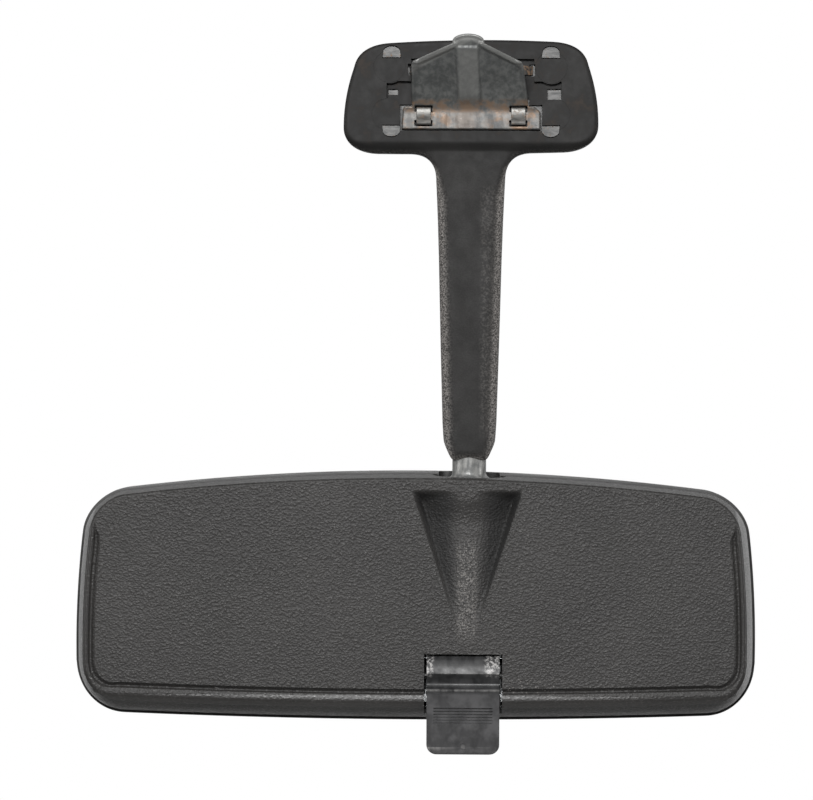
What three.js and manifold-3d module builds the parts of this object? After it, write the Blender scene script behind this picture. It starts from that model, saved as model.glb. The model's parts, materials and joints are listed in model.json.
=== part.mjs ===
// Interior rearview mirror on a clip-in arm, with a dipping head.
//
// Millimetres, +Z up.  The origin is the centre of the rear face of the mounting base, the face that
// lies against the windscreen header.  That face looks along -Y.  The glass looks along +Y, into the car.
// The mirror head hangs from a ball joint whose centre is BALL.  Everything below the ball is written
// in coordinates measured from the ball centre, inside one nested group.

import * as THREE from 'three';
import { mergeVertices } from 'three/addons/utils/BufferGeometryUtils.js';
import Module from 'manifold-3d';

const wasm = await Module();
wasm.setup();

// ---------------------------------------------------------------- driving dimensions

const GAP = 0.3;
const ROUND_SIDES = 24;

// Ball joint
const BALL = [0, 7, -123.5];
const BALL_RADIUS = 9;
const NECK_RADIUS = 5.2;
const NECK_TOP = 13.2;
const SHANK_RADIUS = 3.6;
const SHANK_TOP = 30;
const SEAT_INNER = BALL_RADIUS + GAP;
const SEAT_OUTER = 10;
const SOCKET_INNER = SEAT_OUTER + GAP;
const SOCKET_OUTER = 11.8;
const SOCKET_OPENING = 66;
const UPPER_SEAT_FROM = 64;
const UPPER_SEAT_TO = 80;
const LOWER_SEAT_FROM = 100;

// Mounting base, drawn in the XZ plane
const BASE_TOP = 17.2;
const BASE_BOTTOM = -17.4;
const BASE_HALF_WIDTH = 39.05;
const BASE_FRONT = 13;

// Steel plate inside the base
const PLATE = { halfWidth: 29, bottom: -13.5, top: 15.5, back: 3.0, front: 4.6 };
const POST = { x: 24.4, halfWidth: 2.75, back: 0.4 };
const UPPER_POST_Z = [11.8, 15.1];
const LOWER_POST_Z = [-12.4, -9.2];
const UPPER_DISC = [25, 8.8];
const LOWER_DISC = [25.5, -5.8];
const DISC_RADIUS = 5;
const WINDOW_FLOOR = 1.9;

// Tongue, clips, leaf spring and rivets
const TONGUE_TOP = 18;
const TONGUE_HALF_WIDTH = 17.5;
const NOSE_HALF_WIDTH = 4.9;
const FOOT_BOTTOM = -10.3;
const FOOT_TOP = -3.2;
const FOOT_HALF_WIDTH = 21.4;
const CLIP_X = 14.5;
const CLIP_HALF_WIDTH = 2.3;
const CLIP_LEGS_Z = [[-4.4, -3.4], [-8.8, -7.8]];
const LEAF = { halfLength: 20.8, end: 2.4, bow: 6.4, bottom: 6.6, top: 9.4, thickness: 0.5 };
const RIVET = { x: 4.5, z: 5, radius: 1.5, headRadius: 2.8, headBack: 1.7, headFront: 2.7, tip: 10.2 };

// Arm: skin half width at each height, and the zinc core inside it
const ARM_SECTIONS = [
  [-16, 19], [-17.6, 17], [-19, 14], [-20.6, 12], [-22.6, 10.75], [-31.8, 10.1], [-44, 9.7], [-60, 9.1],
  [-81, 8.8], [-93, 8.4], [-105.6, 7.8], [-108.7, 6.9], [-110.6, 6.3], [-111.5, 6.0],
];
const ARM_REAR = [0.5, 0.9];
const ARM_FRONT = [13.5, 13.1];
const CORE_SECTIONS = [
  [-109.9, 5.5, 4.9], [-93, 5.9, 4.9], [-44, 7, 4.6], [-20, 7.5, 4.2], [-16, 9, 3.2], [10, 9, 3.0],
];
const CORE_CENTRE_Y = [7, 7, 7.4, 7.8, 8.2, 8.2];

// Mirror head outline, drawn in the XZ plane about the ball centre, and its depths
const HEAD_X = -16.4;
const HEAD_TOP = 8.7;
const HEAD_BOTTOM = -68.5;
const HEAD_HALF_WIDTH = 105;
const SHELL_BACK = -16;
const SHELL_WALL = 1.8;
const SHELL_RIM = 5.7;
const SPIGOT_END = 10;
const BEZEL_BACK = 6;
const BEZEL_FRONT = 20;
const BEZEL_WALL = 2.2;
const BEZEL_LIP = 5;
const LIP_BACK = 18.5;
const GLASS_INSET = 2.7;
const GLASS_FRONT = 18.2;
const GLASS_BACK_TOP = 13.2;
const GLASS_BACK_BOTTOM = 15.9;
const NECK_NOTCH_RADIUS = 11.2;
const PAD_X = 60;
const PAD_BACK = 11.5;

// Dip hinge and lever
const HINGE_PIN_RADIUS = 1.5;
const HINGE_HOLE_RADIUS = 1.8;
const LEVER_X = -1.5;
const LEVER_HALF_WIDTH = 11.1;
const NOTCH_HALF_WIDTH = 11.9;
const NOTCH_TOP = -47;
const AXLE = [-7, -54];
const AXLE_RADIUS = 1.25;
const AXLE_HOLE_RADIUS = 1.55;
const HUB_RADIUS = 9.7;
const ECCENTRIC = [-8.86, -48.09];
const GROOVE = { count: 6, lowest: -68, highest: -63.5, halfLength: 9, floor: -15.4 };
const SCREW_X = 7.5;
const SCREW_Z = -16.5;

// ---------------------------------------------------------------- materials

function material(color, roughness, metalness) {
  return new THREE.MeshStandardMaterial({ color, roughness, metalness });
}

const MATERIALS = {
  foam: material(0x1d1c1c, 0.75, 0),
  shell: material(0x3a3735, 0.6, 0),
  bezel: material(0x2b2a29, 0.45, 0),
  lever: material(0x45423f, 0.5, 0),
  zinc: material(0x8d8f88, 0.45, 0.8),
  steel: material(0x9a9a98, 0.4, 0.9),
  rusty: material(0x8a6a4c, 0.75, 0.4),
  nylon: material(0xd8d2c2, 0.5, 0),
  glass: material(0xc9d2d6, 0.05, 1),
  pad: material(0x4a4a4c, 0.9, 0),
};

// ---------------------------------------------------------------- solids

function solidFromMesh(positions, index) {
  let volume = 0;
  for (let i = 0; i < index.length; i += 3) {
    const a = new THREE.Vector3().fromArray(positions, 3 * index[i]);
    const b = new THREE.Vector3().fromArray(positions, 3 * index[i + 1]);
    const c = new THREE.Vector3().fromArray(positions, 3 * index[i + 2]);
    volume += a.dot(b.cross(c));
  }
  const triangles = volume < 0 ? index.slice().reverse() : index;
  return new wasm.Manifold(new wasm.Mesh({
    numProp: 3,
    vertProperties: new Float32Array(positions),
    triVerts: new Uint32Array(triangles),
  }));
}

function solidFromGeometry(geometry) {
  const bare = geometry.clone();
  bare.deleteAttribute('normal');
  bare.deleteAttribute('uv');
  const merged = mergeVertices(bare, 1e-4);
  const index = [];
  for (let i = 0; i < merged.index.count; i += 3) {
    const [a, b, c] = [0, 1, 2].map((k) => merged.index.getX(i + k));
    if (a !== b && b !== c && c !== a) {
      index.push(a, b, c);
    }
  }
  return solidFromMesh(Array.from(merged.attributes.position.array), index);
}

function geometryFromSolid(solid) {
  const mesh = solid.getMesh();
  const geometry = new THREE.BufferGeometry();
  geometry.setAttribute('position', new THREE.BufferAttribute(new Float32Array(mesh.vertProperties), 3));
  geometry.setIndex(new THREE.BufferAttribute(new Uint32Array(mesh.triVerts), 1));
  geometry.computeVertexNormals();
  return geometry;
}

function addPiece(group, name, solid, pieceMaterial) {
  const mesh = new THREE.Mesh(geometryFromSolid(solid), pieceMaterial);
  mesh.name = name;
  group.add(mesh);
  return mesh;
}

function joined(...solids) {
  return solids.reduce((whole, solid) => whole.add(solid));
}

function cut(solid, ...tools) {
  return tools.reduce((whole, tool) => whole.subtract(tool), solid);
}

// Puts a point of the plane across `axis` into space: x -> (y, z), y -> (x, z), z -> (x, y)
function inSpace(point, along, axis) {
  if (axis === 'x') {
    return [along, point[0], point[1]];
  }
  if (axis === 'y') {
    return [point[0], along, point[1]];
  }
  return [point[0], point[1], along];
}

// A closed solid through a row of rings, each { outline, at }, with flat ends across `axis`
function loft(sections, axis) {
  const count = sections[0].outline.length;
  const positions = sections.flatMap(({ outline, at }) => {
    return outline.flatMap((point) => inSpace(point, at, axis));
  });
  const index = [];
  for (let row = 0; row + 1 < sections.length; row += 1) {
    for (let i = 0; i < count; i += 1) {
      const a = row * count + i;
      const b = row * count + (i + 1) % count;
      index.push(a, b, b + count, a, b + count, a + count);
    }
  }
  const capTriangles = (outline) => {
    const contour = outline.map(([u, v]) => new THREE.Vector2(u, v));
    const turn = Math.sign(THREE.ShapeUtils.area(contour));
    return THREE.ShapeUtils.triangulateShape(contour, []).map(([i, j, k]) => {
      const area = THREE.ShapeUtils.area([contour[i], contour[j], contour[k]]);
      return Math.sign(area) === turn ? [i, j, k] : [i, k, j];
    });
  };
  const last = (sections.length - 1) * count;
  for (const [i, j, k] of capTriangles(sections[0].outline)) {
    index.push(i, k, j);
  }
  for (const [i, j, k] of capTriangles(sections.at(-1).outline)) {
    index.push(last + i, last + j, last + k);
  }
  return solidFromMesh(positions, index);
}

function prism(outline, from, to, axis) {
  return loft([{ outline, at: from }, { outline, at: to }], axis);
}

function circle(radius, centre = [0, 0], sides = ROUND_SIDES) {
  return Array.from({ length: sides }, (_, i) => {
    const angle = 2 * Math.PI * i / sides;
    return [centre[0] + radius * Math.cos(angle), centre[1] + radius * Math.sin(angle)];
  });
}

function cylinder(radius, from, to, axis, centre = [0, 0], sides = ROUND_SIDES) {
  return prism(circle(radius, centre, sides), from, to, axis);
}

function box(x, y, z) {
  const geometry = new THREE.BoxGeometry(x[1] - x[0], y[1] - y[0], z[1] - z[0]);
  geometry.translate((x[0] + x[1]) / 2, (y[0] + y[1]) / 2, (z[0] + z[1]) / 2);
  return solidFromGeometry(geometry);
}

function turned(profile, sides = 32) {
  const points = profile.map(([radius, height]) => new THREE.Vector2(radius, height));
  const geometry = new THREE.LatheGeometry(points, sides);
  geometry.rotateX(Math.PI / 2);
  return solidFromGeometry(geometry);
}

// Points on a circle about the ball centre, from one polar angle to another, in degrees from +Z
function polarArc(radius, from, to, steps) {
  return Array.from({ length: steps + 1 }, (_, i) => {
    const angle = THREE.MathUtils.degToRad(from + (to - from) * i / steps);
    return [radius * Math.sin(angle), radius * Math.cos(angle)];
  });
}

// ---------------------------------------------------------------- outlines

function steps(from, to, count) {
  return Array.from({ length: count + 1 }, (_, i) => from + (to - from) * i / count);
}

function bezier(points, count) {
  const curve = new THREE.CubicBezierCurve(...points.map(([x, z]) => new THREE.Vector2(x, z)));
  return curve.getPoints(count).map((point) => [point.x, point.y]);
}

// Completes a right-hand half, given from bottom centre to top centre, into a closed outline
function mirrored(half) {
  const left = half.slice(1, -1).reverse().map(([x, z]) => [-x, z]);
  return [...half, ...left];
}

function outwardNormals(outline) {
  const count = outline.length;
  return outline.map((_, i) => {
    const before = outline[(i + count - 1) % count];
    const after = outline[(i + 1) % count];
    const across = new THREE.Vector2(after[1] - before[1], before[0] - after[0]).normalize();
    return [across.x, across.y];
  });
}

// Moves each point of an outline inward by an amount that depends on which way the edge faces
function inset(outline, amount) {
  const normals = outwardNormals(outline);
  return outline.map(([x, z], i) => {
    const by = typeof amount === 'number' ? amount : amount(normals[i]);
    return [x - normals[i][0] * by, z - normals[i][1] * by];
  });
}

function shifted(outline, x) {
  return outline.map((point) => [point[0] + x, point[1]]);
}

const headOutline = shifted(mirrored([
  ...steps(0, 78, 5).map((x) => [x, HEAD_BOTTOM + x * x / 4800]),
  ...bezier([[90, -66.81], [98.5, -66.4], [104.67, -59.2], [104.85, -50.5]], 6),
  ...steps(-40, -18, 2).map((z) => [HEAD_HALF_WIDTH - (z + 44) ** 2 / 600, z]),
  ...bezier([[103.1, -10.5], [102.35, -3.8], [96, 2.4], [89, 3.25]], 6),
  ...steps(76, 0, 6).map((x) => [x, HEAD_TOP - x * x / 1454]),
]), HEAD_X);

const baseOutline = mirrored([
  ...steps(0, 24, 3).map((x) => [x, BASE_BOTTOM + x * x / 2400]),
  ...bezier([[29, -17.1], [35, -16.75], [39.05, -13.8], [39.05, -9.5]], 5),
  ...steps(-4, 4, 1).map((z) => [BASE_HALF_WIDTH - (z + 9) ** 2 / 106, z]),
  ...bezier([[35.9, 9.3], [35.03, 13.6], [31.2, 16.16], [25, 16.5]], 5),
  ...steps(18, 0, 2).map((x) => [x, BASE_TOP - x * x / 910]),
]);

// How far the crest of the rear shell lies inside the outline: at the sides, the top and the bottom
function crestInset([, up]) {
  return up > 0 ? 4.4 - 2.0 * up * up : 4.4 + 0.9 * up * up;
}

// ---------------------------------------------------------------- mounting base and arm

function armSection(halfWidth, rear, front) {
  const corner = 0.9;
  const half = [
    [halfWidth - 3, rear], [halfWidth - corner, rear + 1.1], [halfWidth, rear + 3.6],
    [halfWidth, front - 3.6], [halfWidth - corner, front - 1.1], [halfWidth - 2.6, front],
  ];
  return [...half, ...half.slice().reverse().map(([x, y]) => [-x, y])];
}

function roundedSection(halfWidth, halfDepth, centreY) {
  const corner = 1.6;
  const half = [
    [halfWidth - corner, centreY - halfDepth], [halfWidth, centreY - halfDepth + corner],
    [halfWidth, centreY + halfDepth - corner], [halfWidth - corner, centreY + halfDepth],
  ];
  return [...half, ...half.slice().reverse().map(([x, y]) => [-x, y])];
}

// The outline of a mounting post seen from behind: flat on the side that faces the window
function postOutline(sign, zRange, grow = 0) {
  const [low, high] = zRange;
  const flatZ = low > 0 ? low - grow : high + grow;
  const roundZ = low > 0 ? high + grow : low - grow;
  const halfWidth = POST.halfWidth + grow;
  const centre = sign * POST.x;
  return [-1, -0.92, -0.7, -0.35, 0, 0.35, 0.7, 0.92, 1].map((t) => {
    const rise = Math.abs(t) === 1 ? 0 : Math.sqrt(1 - t * t);
    return [centre + t * halfWidth, flatZ + (roundZ - flatZ) * Math.sqrt(rise)];
  });
}

function forEachPost(visit) {
  for (const sign of [-1, 1]) {
    visit(sign, UPPER_POST_Z);
    visit(sign, LOWER_POST_Z);
  }
}

function forEachClipLeg(visit) {
  for (const sign of [-1, 1]) {
    for (const zRange of CLIP_LEGS_Z) {
      visit([sign * CLIP_X - CLIP_HALF_WIDTH, sign * CLIP_X + CLIP_HALF_WIDTH], zRange);
    }
  }
}

function grown([low, high], by) {
  return [low - by, high + by];
}

function makePlate() {
  let plate = box([-PLATE.halfWidth, PLATE.halfWidth], [PLATE.back, PLATE.front], [PLATE.bottom, PLATE.top]);
  forEachPost((sign, zRange) => {
    plate = plate.add(prism(postOutline(sign, zRange), POST.back, PLATE.back + 0.5, 'y'));
  });
  forEachClipLeg((x, z) => {
    plate = plate.subtract(box(grown(x, GAP), [PLATE.back - 1, PLATE.front + 1], grown(z, GAP)));
  });
  for (const sign of [-1, 1]) {
    const centre = [sign * RIVET.x, RIVET.z];
    const hole = cylinder(RIVET.radius + GAP, PLATE.back - 1, PLATE.front + 1, 'y', centre);
    plate = plate.subtract(hole);
  }
  return plate;
}

function coreLoft(grow) {
  return loft(CORE_SECTIONS.map(([z, halfWidth, halfDepth], i) => {
    const isEnd = i === 0 || i === CORE_SECTIONS.length - 1;
    const along = isEnd ? grow * (i === 0 ? -1 : 1) : 0;
    return { outline: roundedSection(halfWidth + grow, halfDepth + grow, CORE_CENTRE_Y[i]), at: z + along };
  }), 'z');
}

function makeCore() {
  const bore = cylinder(SHANK_RADIUS + GAP, -125, BALL[2] + SHANK_TOP + 0.5, 'z', [BALL[0], BALL[1]]);
  let core = coreLoft(0).subtract(bore);
  core = core.subtract(box([-30, 30], [-5, PLATE.front + GAP], [PLATE.bottom - GAP, PLATE.top + 5]));
  for (const sign of [-1, 1]) {
    core = core.subtract(cylinder(RIVET.radius + GAP, 0, RIVET.tip + GAP, 'y', [sign * RIVET.x, RIVET.z]));
  }
  return core;
}

function windowTool() {
  const farBack = -2;
  const toPlate = PLATE.back + 0.5;
  const discs = [-1, 1].flatMap((sign) => [UPPER_DISC, LOWER_DISC].map(([x, z]) => (
    cylinder(DISC_RADIUS, farBack - 1, toPlate + 1, 'y', [sign * x, z])
  )));
  const shallow = joined(
    box([17.5, 28.6], [farBack, WINDOW_FLOOR], [-3, 6.5]),
    box([-26, -18.4], [farBack, WINDOW_FLOOR], [-3, 2.6]),
    box([-19.4, 21.7], [farBack, WINDOW_FLOOR], [-3.2, 11.2]),
  );
  const leafZ = [LEAF.bottom - 0.4, LEAF.top + 0.4];
  const deep = joined(
    box([-21.8, 21.8], [farBack, toPlate], [FOOT_BOTTOM - 0.6, -2.6]),
    box([-18.4, 18.6], [farBack, toPlate], [-3, -0.6]),
    box([-12, 12], [farBack, toPlate], [-3, 10.4]),
    box([-21.8, -17.8], [farBack, toPlate], leafZ),
    box([17.8, 21.8], [farBack, toPlate], leafZ),
    box([-25.4, -22.4], [farBack, toPlate], [0.4, 2.2]),
    box([23.4, 28.2], [farBack, toPlate], [-1, 2.4]),
  );
  return shallow.subtract(joined(...discs)).add(deep);
}

function makeSkin() {
  const bottomOnly = ([, up]) => Math.max(0, -up) ** 2;
  const rearRings = [
    [0, (n) => 1.6 + 2 * bottomOnly(n)], [0.6, (n) => 0.6 + bottomOnly(n)], [2, () => 0], [7, () => 0],
  ].map(([y, amount]) => ({ outline: inset(baseOutline, amount), at: y }));
  const frontRings = [[9.5, 1.2], [11.8, 4], [BASE_FRONT, 9]].map(([y, by]) => (
    { outline: baseOutline.map(([x, z]) => [x * (1 - by / BASE_HALF_WIDTH), z * (1 - by / BASE_TOP)]), at: y }
  ));
  const base = loft([...rearRings, ...frontRings], 'y');
  const topZ = ARM_SECTIONS[0][0];
  const endZ = ARM_SECTIONS.at(-1)[0];
  const arm = loft(ARM_SECTIONS.map(([z, halfWidth]) => {
    const t = (z - topZ) / (endZ - topZ);
    const rear = THREE.MathUtils.lerp(ARM_REAR[0], ARM_REAR[1], t);
    const front = THREE.MathUtils.lerp(ARM_FRONT[0], ARM_FRONT[1], t);
    return { outline: armSection(halfWidth, rear, front), at: z };
  }), 'z');
  let skin = base.add(arm);
  skin = skin.subtract(box(
    [-PLATE.halfWidth - GAP, PLATE.halfWidth + GAP],
    [PLATE.back - GAP, PLATE.front + GAP],
    [PLATE.bottom - GAP, PLATE.top + GAP],
  ));
  skin = skin.subtract(coreLoft(GAP));
  skin = skin.subtract(windowTool());
  forEachPost((sign, zRange) => {
    skin = skin.subtract(prism(postOutline(sign, zRange, GAP), -1, PLATE.back + 0.5, 'y'));
  });
  const neckHole = cylinder(NECK_RADIUS + GAP, endZ - 2, CORE_SECTIONS[0][0] + 0.5, 'z', [BALL[0], BALL[1]]);
  return skin.subtract(neckHole);
}

// ---------------------------------------------------------------- tongue and its fixings

function makeTongue() {
  const side = [
    [1.2, FOOT_BOTTOM], [2.7, FOOT_BOTTOM], [2.7, -2.7], [-13.2, 14.6], [-14, 15.6], [-14, 17.2],
    [-14.6, TONGUE_TOP], [-15.6, TONGUE_TOP], [-16, 17.2], [-16, 14.8], [-15.2, 13.6], [1.2, -3.6],
  ];
  const face = [
    [-FOOT_HALF_WIDTH, FOOT_BOTTOM - 1], [FOOT_HALF_WIDTH, FOOT_BOTTOM - 1], [FOOT_HALF_WIDTH, -4.6],
    [20.2, FOOT_TOP], [TONGUE_HALF_WIDTH, FOOT_TOP + 0.4], [TONGUE_HALF_WIDTH - 1.7, 9.0],
    [NOSE_HALF_WIDTH, 14.9], [NOSE_HALF_WIDTH, 16.6], [3.4, TONGUE_TOP], [-3.4, TONGUE_TOP],
    [-NOSE_HALF_WIDTH, 16.6], [-NOSE_HALF_WIDTH, 14.9], [-TONGUE_HALF_WIDTH, 9.0],
    [-TONGUE_HALF_WIDTH, FOOT_TOP + 0.4], [-20.2, FOOT_TOP],
  ];
  let tongue = prism(side, -30, 30, 'x').intersect(prism(face, -20, 6, 'y'));
  const ribSide = side.map(([y, z]) => [y - 0.6, z]);
  const ribRange = prism([[-3, -1.5], [3, -1.5], [3, 13.4], [-3, 13.4]], -20, 6, 'y');
  tongue = tongue.add(prism(ribSide, -3, 3, 'x').intersect(ribRange));
  forEachClipLeg((x, z) => {
    tongue = tongue.subtract(box(grown(x, 0.5), [-1.5, 4], grown(z, 0.4)));
  });
  return tongue;
}

function makeClip(sign) {
  const x = [sign * CLIP_X - CLIP_HALF_WIDTH, sign * CLIP_X + CLIP_HALF_WIDTH];
  let clip = box(x, [-0.4, 0.7], [CLIP_LEGS_Z[1][0], CLIP_LEGS_Z[0][1]]);
  for (const z of CLIP_LEGS_Z) {
    clip = clip.add(box(x, [0, PLATE.front - 0.2], z));
  }
  return clip;
}

function makeLeafSpring() {
  const line = steps(-LEAF.halfLength, LEAF.halfLength, 16).map((x) => {
    const t = x / LEAF.halfLength;
    return [x, LEAF.end - LEAF.bow * (1 - t * t)];
  });
  const front = line.map(([x, y]) => [x, y + LEAF.thickness / 2]);
  const rear = line.map(([x, y]) => [x, y - LEAF.thickness / 2]).reverse();
  return prism([...rear, ...front], LEAF.bottom, LEAF.top, 'z');
}

function makeRivet(sign) {
  const centre = [sign * RIVET.x, RIVET.z];
  return joined(
    cylinder(RIVET.headRadius, RIVET.headBack, RIVET.headFront, 'y', centre, 20),
    cylinder(RIVET.radius, RIVET.headFront - 0.2, RIVET.tip, 'y', centre, 20),
  );
}

// ---------------------------------------------------------------- ball joint

function makeBallStud() {
  const neckAngle = THREE.MathUtils.radToDeg(Math.asin(NECK_RADIUS / BALL_RADIUS));
  const flareTop = BALL_RADIUS * Math.cos(THREE.MathUtils.degToRad(neckAngle));
  return turned([
    ...polarArc(BALL_RADIUS, 180, neckAngle + 4, 14),
    [NECK_RADIUS, flareTop + 0.9], [NECK_RADIUS, NECK_TOP],
    [SHANK_RADIUS, NECK_TOP], [SHANK_RADIUS, SHANK_TOP - 0.8],
    [SHANK_RADIUS - 0.8, SHANK_TOP], [0, SHANK_TOP],
  ].map(([radius, height], i) => [i === 0 ? 0 : radius, height]));
}

function makeUpperSeat() {
  const inner = polarArc(SEAT_INNER, UPPER_SEAT_FROM, UPPER_SEAT_TO, 3);
  const outer = polarArc(SEAT_OUTER, UPPER_SEAT_TO, UPPER_SEAT_FROM, 3);
  return turned([...inner, ...outer, inner[0]]);
}

function makeLowerSeat() {
  const inner = polarArc(SEAT_INNER, 180, LOWER_SEAT_FROM, 9);
  const outer = polarArc(SEAT_OUTER, LOWER_SEAT_FROM, 180, 9);
  inner[0][0] = 0;
  outer.at(-1)[0] = 0;
  return turned([...inner, ...outer]);
}

function makeSocketShell() {
  const inner = polarArc(SOCKET_INNER, 180, SOCKET_OPENING, 9);
  const outer = polarArc(SOCKET_OUTER, SOCKET_OPENING, 180, 9);
  inner[0][0] = 0;
  outer.at(-1)[0] = 0;
  return turned([...inner, ...outer]);
}

function screwHoles(radius, from, to) {
  return [-1, 1].map((sign) => cylinder(radius, from, to, 'y', [sign * SCREW_X, SCREW_Z], 16));
}

function makeCarrier() {
  const front = makeSocketShell().intersect(box([-20, 20], [0.15, 20], [-20, 20]));
  const ballSpace = solidFromGeometry(new THREE.SphereGeometry(SOCKET_INNER, 24, 16));
  const flange = box([-11, 11], [0.15, 4.5], [-20.5, -9.5]).subtract(ballSpace);
  let carrier = joined(front, flange);
  for (const sign of [-1, 1]) {
    const [near, far] = [11.6 * sign, 17 * sign].sort((a, b) => a - b);
    const [webNear, webFar] = [10 * sign, 17 * sign].sort((a, b) => a - b);
    const web = box([webNear, webFar], [0.15, 3.4], [-3.4, 3.4]).subtract(ballSpace);
    const [holeNear, holeFar] = [12.5 * sign, 18 * sign].sort((a, b) => a - b);
    carrier = joined(carrier, web, cylinder(3.4, near, far, 'x'));
    carrier = carrier.subtract(cylinder(HINGE_HOLE_RADIUS, holeNear, holeFar, 'x'));
  }
  const fork = [
    [0.15, -10.9], [4.5, -10.9], [4.5, -25], [-5.8, -43.5], [-6, -48.9], [-7.25, -48.9],
    [-7.25, -45.4], [-10.45, -45.4], [-10.45, -48.9], [-11.5, -48.9], [-11.5, -42.5], [0.15, -21.5],
  ];
  carrier = carrier.add(prism(fork, LEVER_X - 3.2, LEVER_X + 3.2, 'x').subtract(ballSpace));
  return cut(carrier, ...screwHoles(2.2, -1, 6));
}

function makeClampPlate() {
  const rear = makeSocketShell().intersect(box([-11.3, 11.3], [-20, -0.15], [-20, 20]));
  const ballSpace = solidFromGeometry(new THREE.SphereGeometry(SOCKET_INNER, 24, 16));
  const flange = box([-11, 11], [-3.5, -0.15], [-20.5, -9.5]).subtract(ballSpace);
  return cut(joined(rear, flange), ...screwHoles(2.2, -6, 1));
}

function makeClampScrew(sign) {
  const centre = [sign * SCREW_X, SCREW_Z];
  const head = cylinder(3.5, -6.9, -4.6, 'y', centre, 20);
  const shank = cylinder(1.9, -4.8, 4, 'y', centre, 16);
  const cross = joined(
    box([centre[0] - 0.4, centre[0] + 0.4], [-8, -5.7], [SCREW_Z - 2.2, SCREW_Z + 2.2]),
    box([centre[0] - 2.2, centre[0] + 2.2], [-8, -5.7], [SCREW_Z - 0.4, SCREW_Z + 0.4]),
  );
  return joined(head, shank).subtract(cross);
}

function makeClampSpring(sign) {
  const centre = [sign * SCREW_X, SCREW_Z];
  const ring = cylinder(3.6, -4.3, -3.8, 'y', centre, 20);
  return ring.subtract(cylinder(2.2, -5, -3, 'y', centre, 20));
}

// ---------------------------------------------------------------- mirror head

// One scoop section across the back of the shell at height z: two troughs with a ridge between them
function scoopOutline(z, widen, deepen) {
  const halfWidth = 16.8 - 0.335 * (2.7 - z) + widen;
  const depth = 5 * (z + 43) / 45.7;
  const floor = SHELL_BACK + depth + deepen;
  const ridge = SHELL_BACK + 0.15 * depth + deepen;
  const outside = SHELL_BACK - 1;
  const half = [
    [0.12 * halfWidth, ridge], [0.62 * halfWidth, floor], [0.95 * halfWidth, floor], [halfWidth, outside],
  ];
  return [...half, ...half.slice().reverse().map(([x, y]) => [-x, y])];
}

function scoopTool(widen, deepen, top, bottom) {
  return loft([
    { outline: scoopOutline(bottom, widen, deepen), at: bottom },
    { outline: scoopOutline(2.7, widen, deepen), at: top },
  ], 'z');
}

function headLoft(rings) {
  return loft(rings.map(([y, amount]) => ({ outline: inset(headOutline, amount), at: y })), 'y');
}

function makeShell() {
  const outer = headLoft([
    [SHELL_BACK, (n) => crestInset(n) + 1.1], [-15.3, (n) => crestInset(n) + 0.1],
    [-13.2, (n) => 0.86 * crestInset(n)], [-8, (n) => 0.5 * crestInset(n) + 0.5],
    [0, (n) => 0.14 * crestInset(n) + 0.8], [SHELL_RIM, () => 0.9],
  ]);
  const spigot = headLoft([[SHELL_RIM - 1, () => 2.5], [SPIGOT_END, () => 2.5]]);
  let hollow = headLoft([
    [SHELL_BACK + SHELL_WALL, (n) => crestInset(n) + 2.4], [-12.6, (n) => crestInset(n) + 1.6],
    [-8, (n) => Math.max(4.1, 0.5 * crestInset(n) + 2.3)], [SPIGOT_END + 1, () => 4.1],
  ]);
  hollow = hollow.subtract(scoopTool(1.5, 1.7, 4.2, -44));
  const bosses = [-1, 1].map((sign) => {
    const x = [17.6 * sign, 22.5 * sign].sort((a, b) => a - b);
    return box(x, [-15, 3.5], [-3.5, 3.5]);
  });
  const cheeks = [-1, 1].map((sign) => {
    const x = [LEVER_X + 12.3 * sign, LEVER_X + 15 * sign].sort((a, b) => a - b);
    return box(x, [-15, -4.6], [-58, -50]);
  });
  const ribs = [-1, 1].map((sign) => {
    const centre = HEAD_X + sign * PAD_X;
    return box([centre - 0.8, centre + 0.8], [-15, PAD_BACK - GAP], [-60, 0]);
  });
  const springPost = box([4, 10], [-2.3, -0.6], [-66, -60.5]);
  let shell = joined(outer, spigot).subtract(hollow);
  shell = joined(shell, ...bosses, ...cheeks, ...ribs, springPost);
  return cut(
    shell,
    scoopTool(0, 0, 2.7, -42.9),
    cylinder(NECK_NOTCH_RADIUS, 1, 20, 'z', [0, 0], 32),
    box([LEVER_X - NOTCH_HALF_WIDTH, LEVER_X + NOTCH_HALF_WIDTH], [-20, -6], [-80, NOTCH_TOP]),
    cylinder(HINGE_HOLE_RADIUS, -24, -17, 'x'),
    cylinder(HINGE_HOLE_RADIUS, 17, 24, 'x'),
    cylinder(AXLE_HOLE_RADIUS, LEVER_X - 16, LEVER_X + 16, 'x', AXLE, 16),
  );
}

function makeBezel() {
  const outer = headLoft([
    [BEZEL_BACK, () => 0], [LIP_BACK, () => 0], [BEZEL_FRONT - 0.4, () => 0.5], [BEZEL_FRONT, () => 1.2],
  ]);
  const inner = headLoft([[BEZEL_BACK - 1, () => BEZEL_WALL], [LIP_BACK, () => BEZEL_WALL]]);
  const opening = headLoft([[LIP_BACK - 1, () => BEZEL_LIP], [BEZEL_FRONT + 1, () => BEZEL_LIP - 1]]);
  return cut(outer, inner, opening, cylinder(NECK_NOTCH_RADIUS, 1, 20, 'z', [0, 0], 32));
}

function glassBackAt(z) {
  const t = (HEAD_TOP - z) / (HEAD_TOP - HEAD_BOTTOM);
  return THREE.MathUtils.lerp(GLASS_BACK_TOP, GLASS_BACK_BOTTOM, t);
}

function makeGlass() {
  const blank = headLoft([[10, () => GLASS_INSET], [GLASS_FRONT, () => GLASS_INSET]]);
  const wedge = prism([
    [glassBackAt(20), 20], [glassBackAt(-80), -80], [GLASS_FRONT + 5, -80], [GLASS_FRONT + 5, 20],
  ], -200, 200, 'x');
  return blank.intersect(wedge);
}

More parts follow.
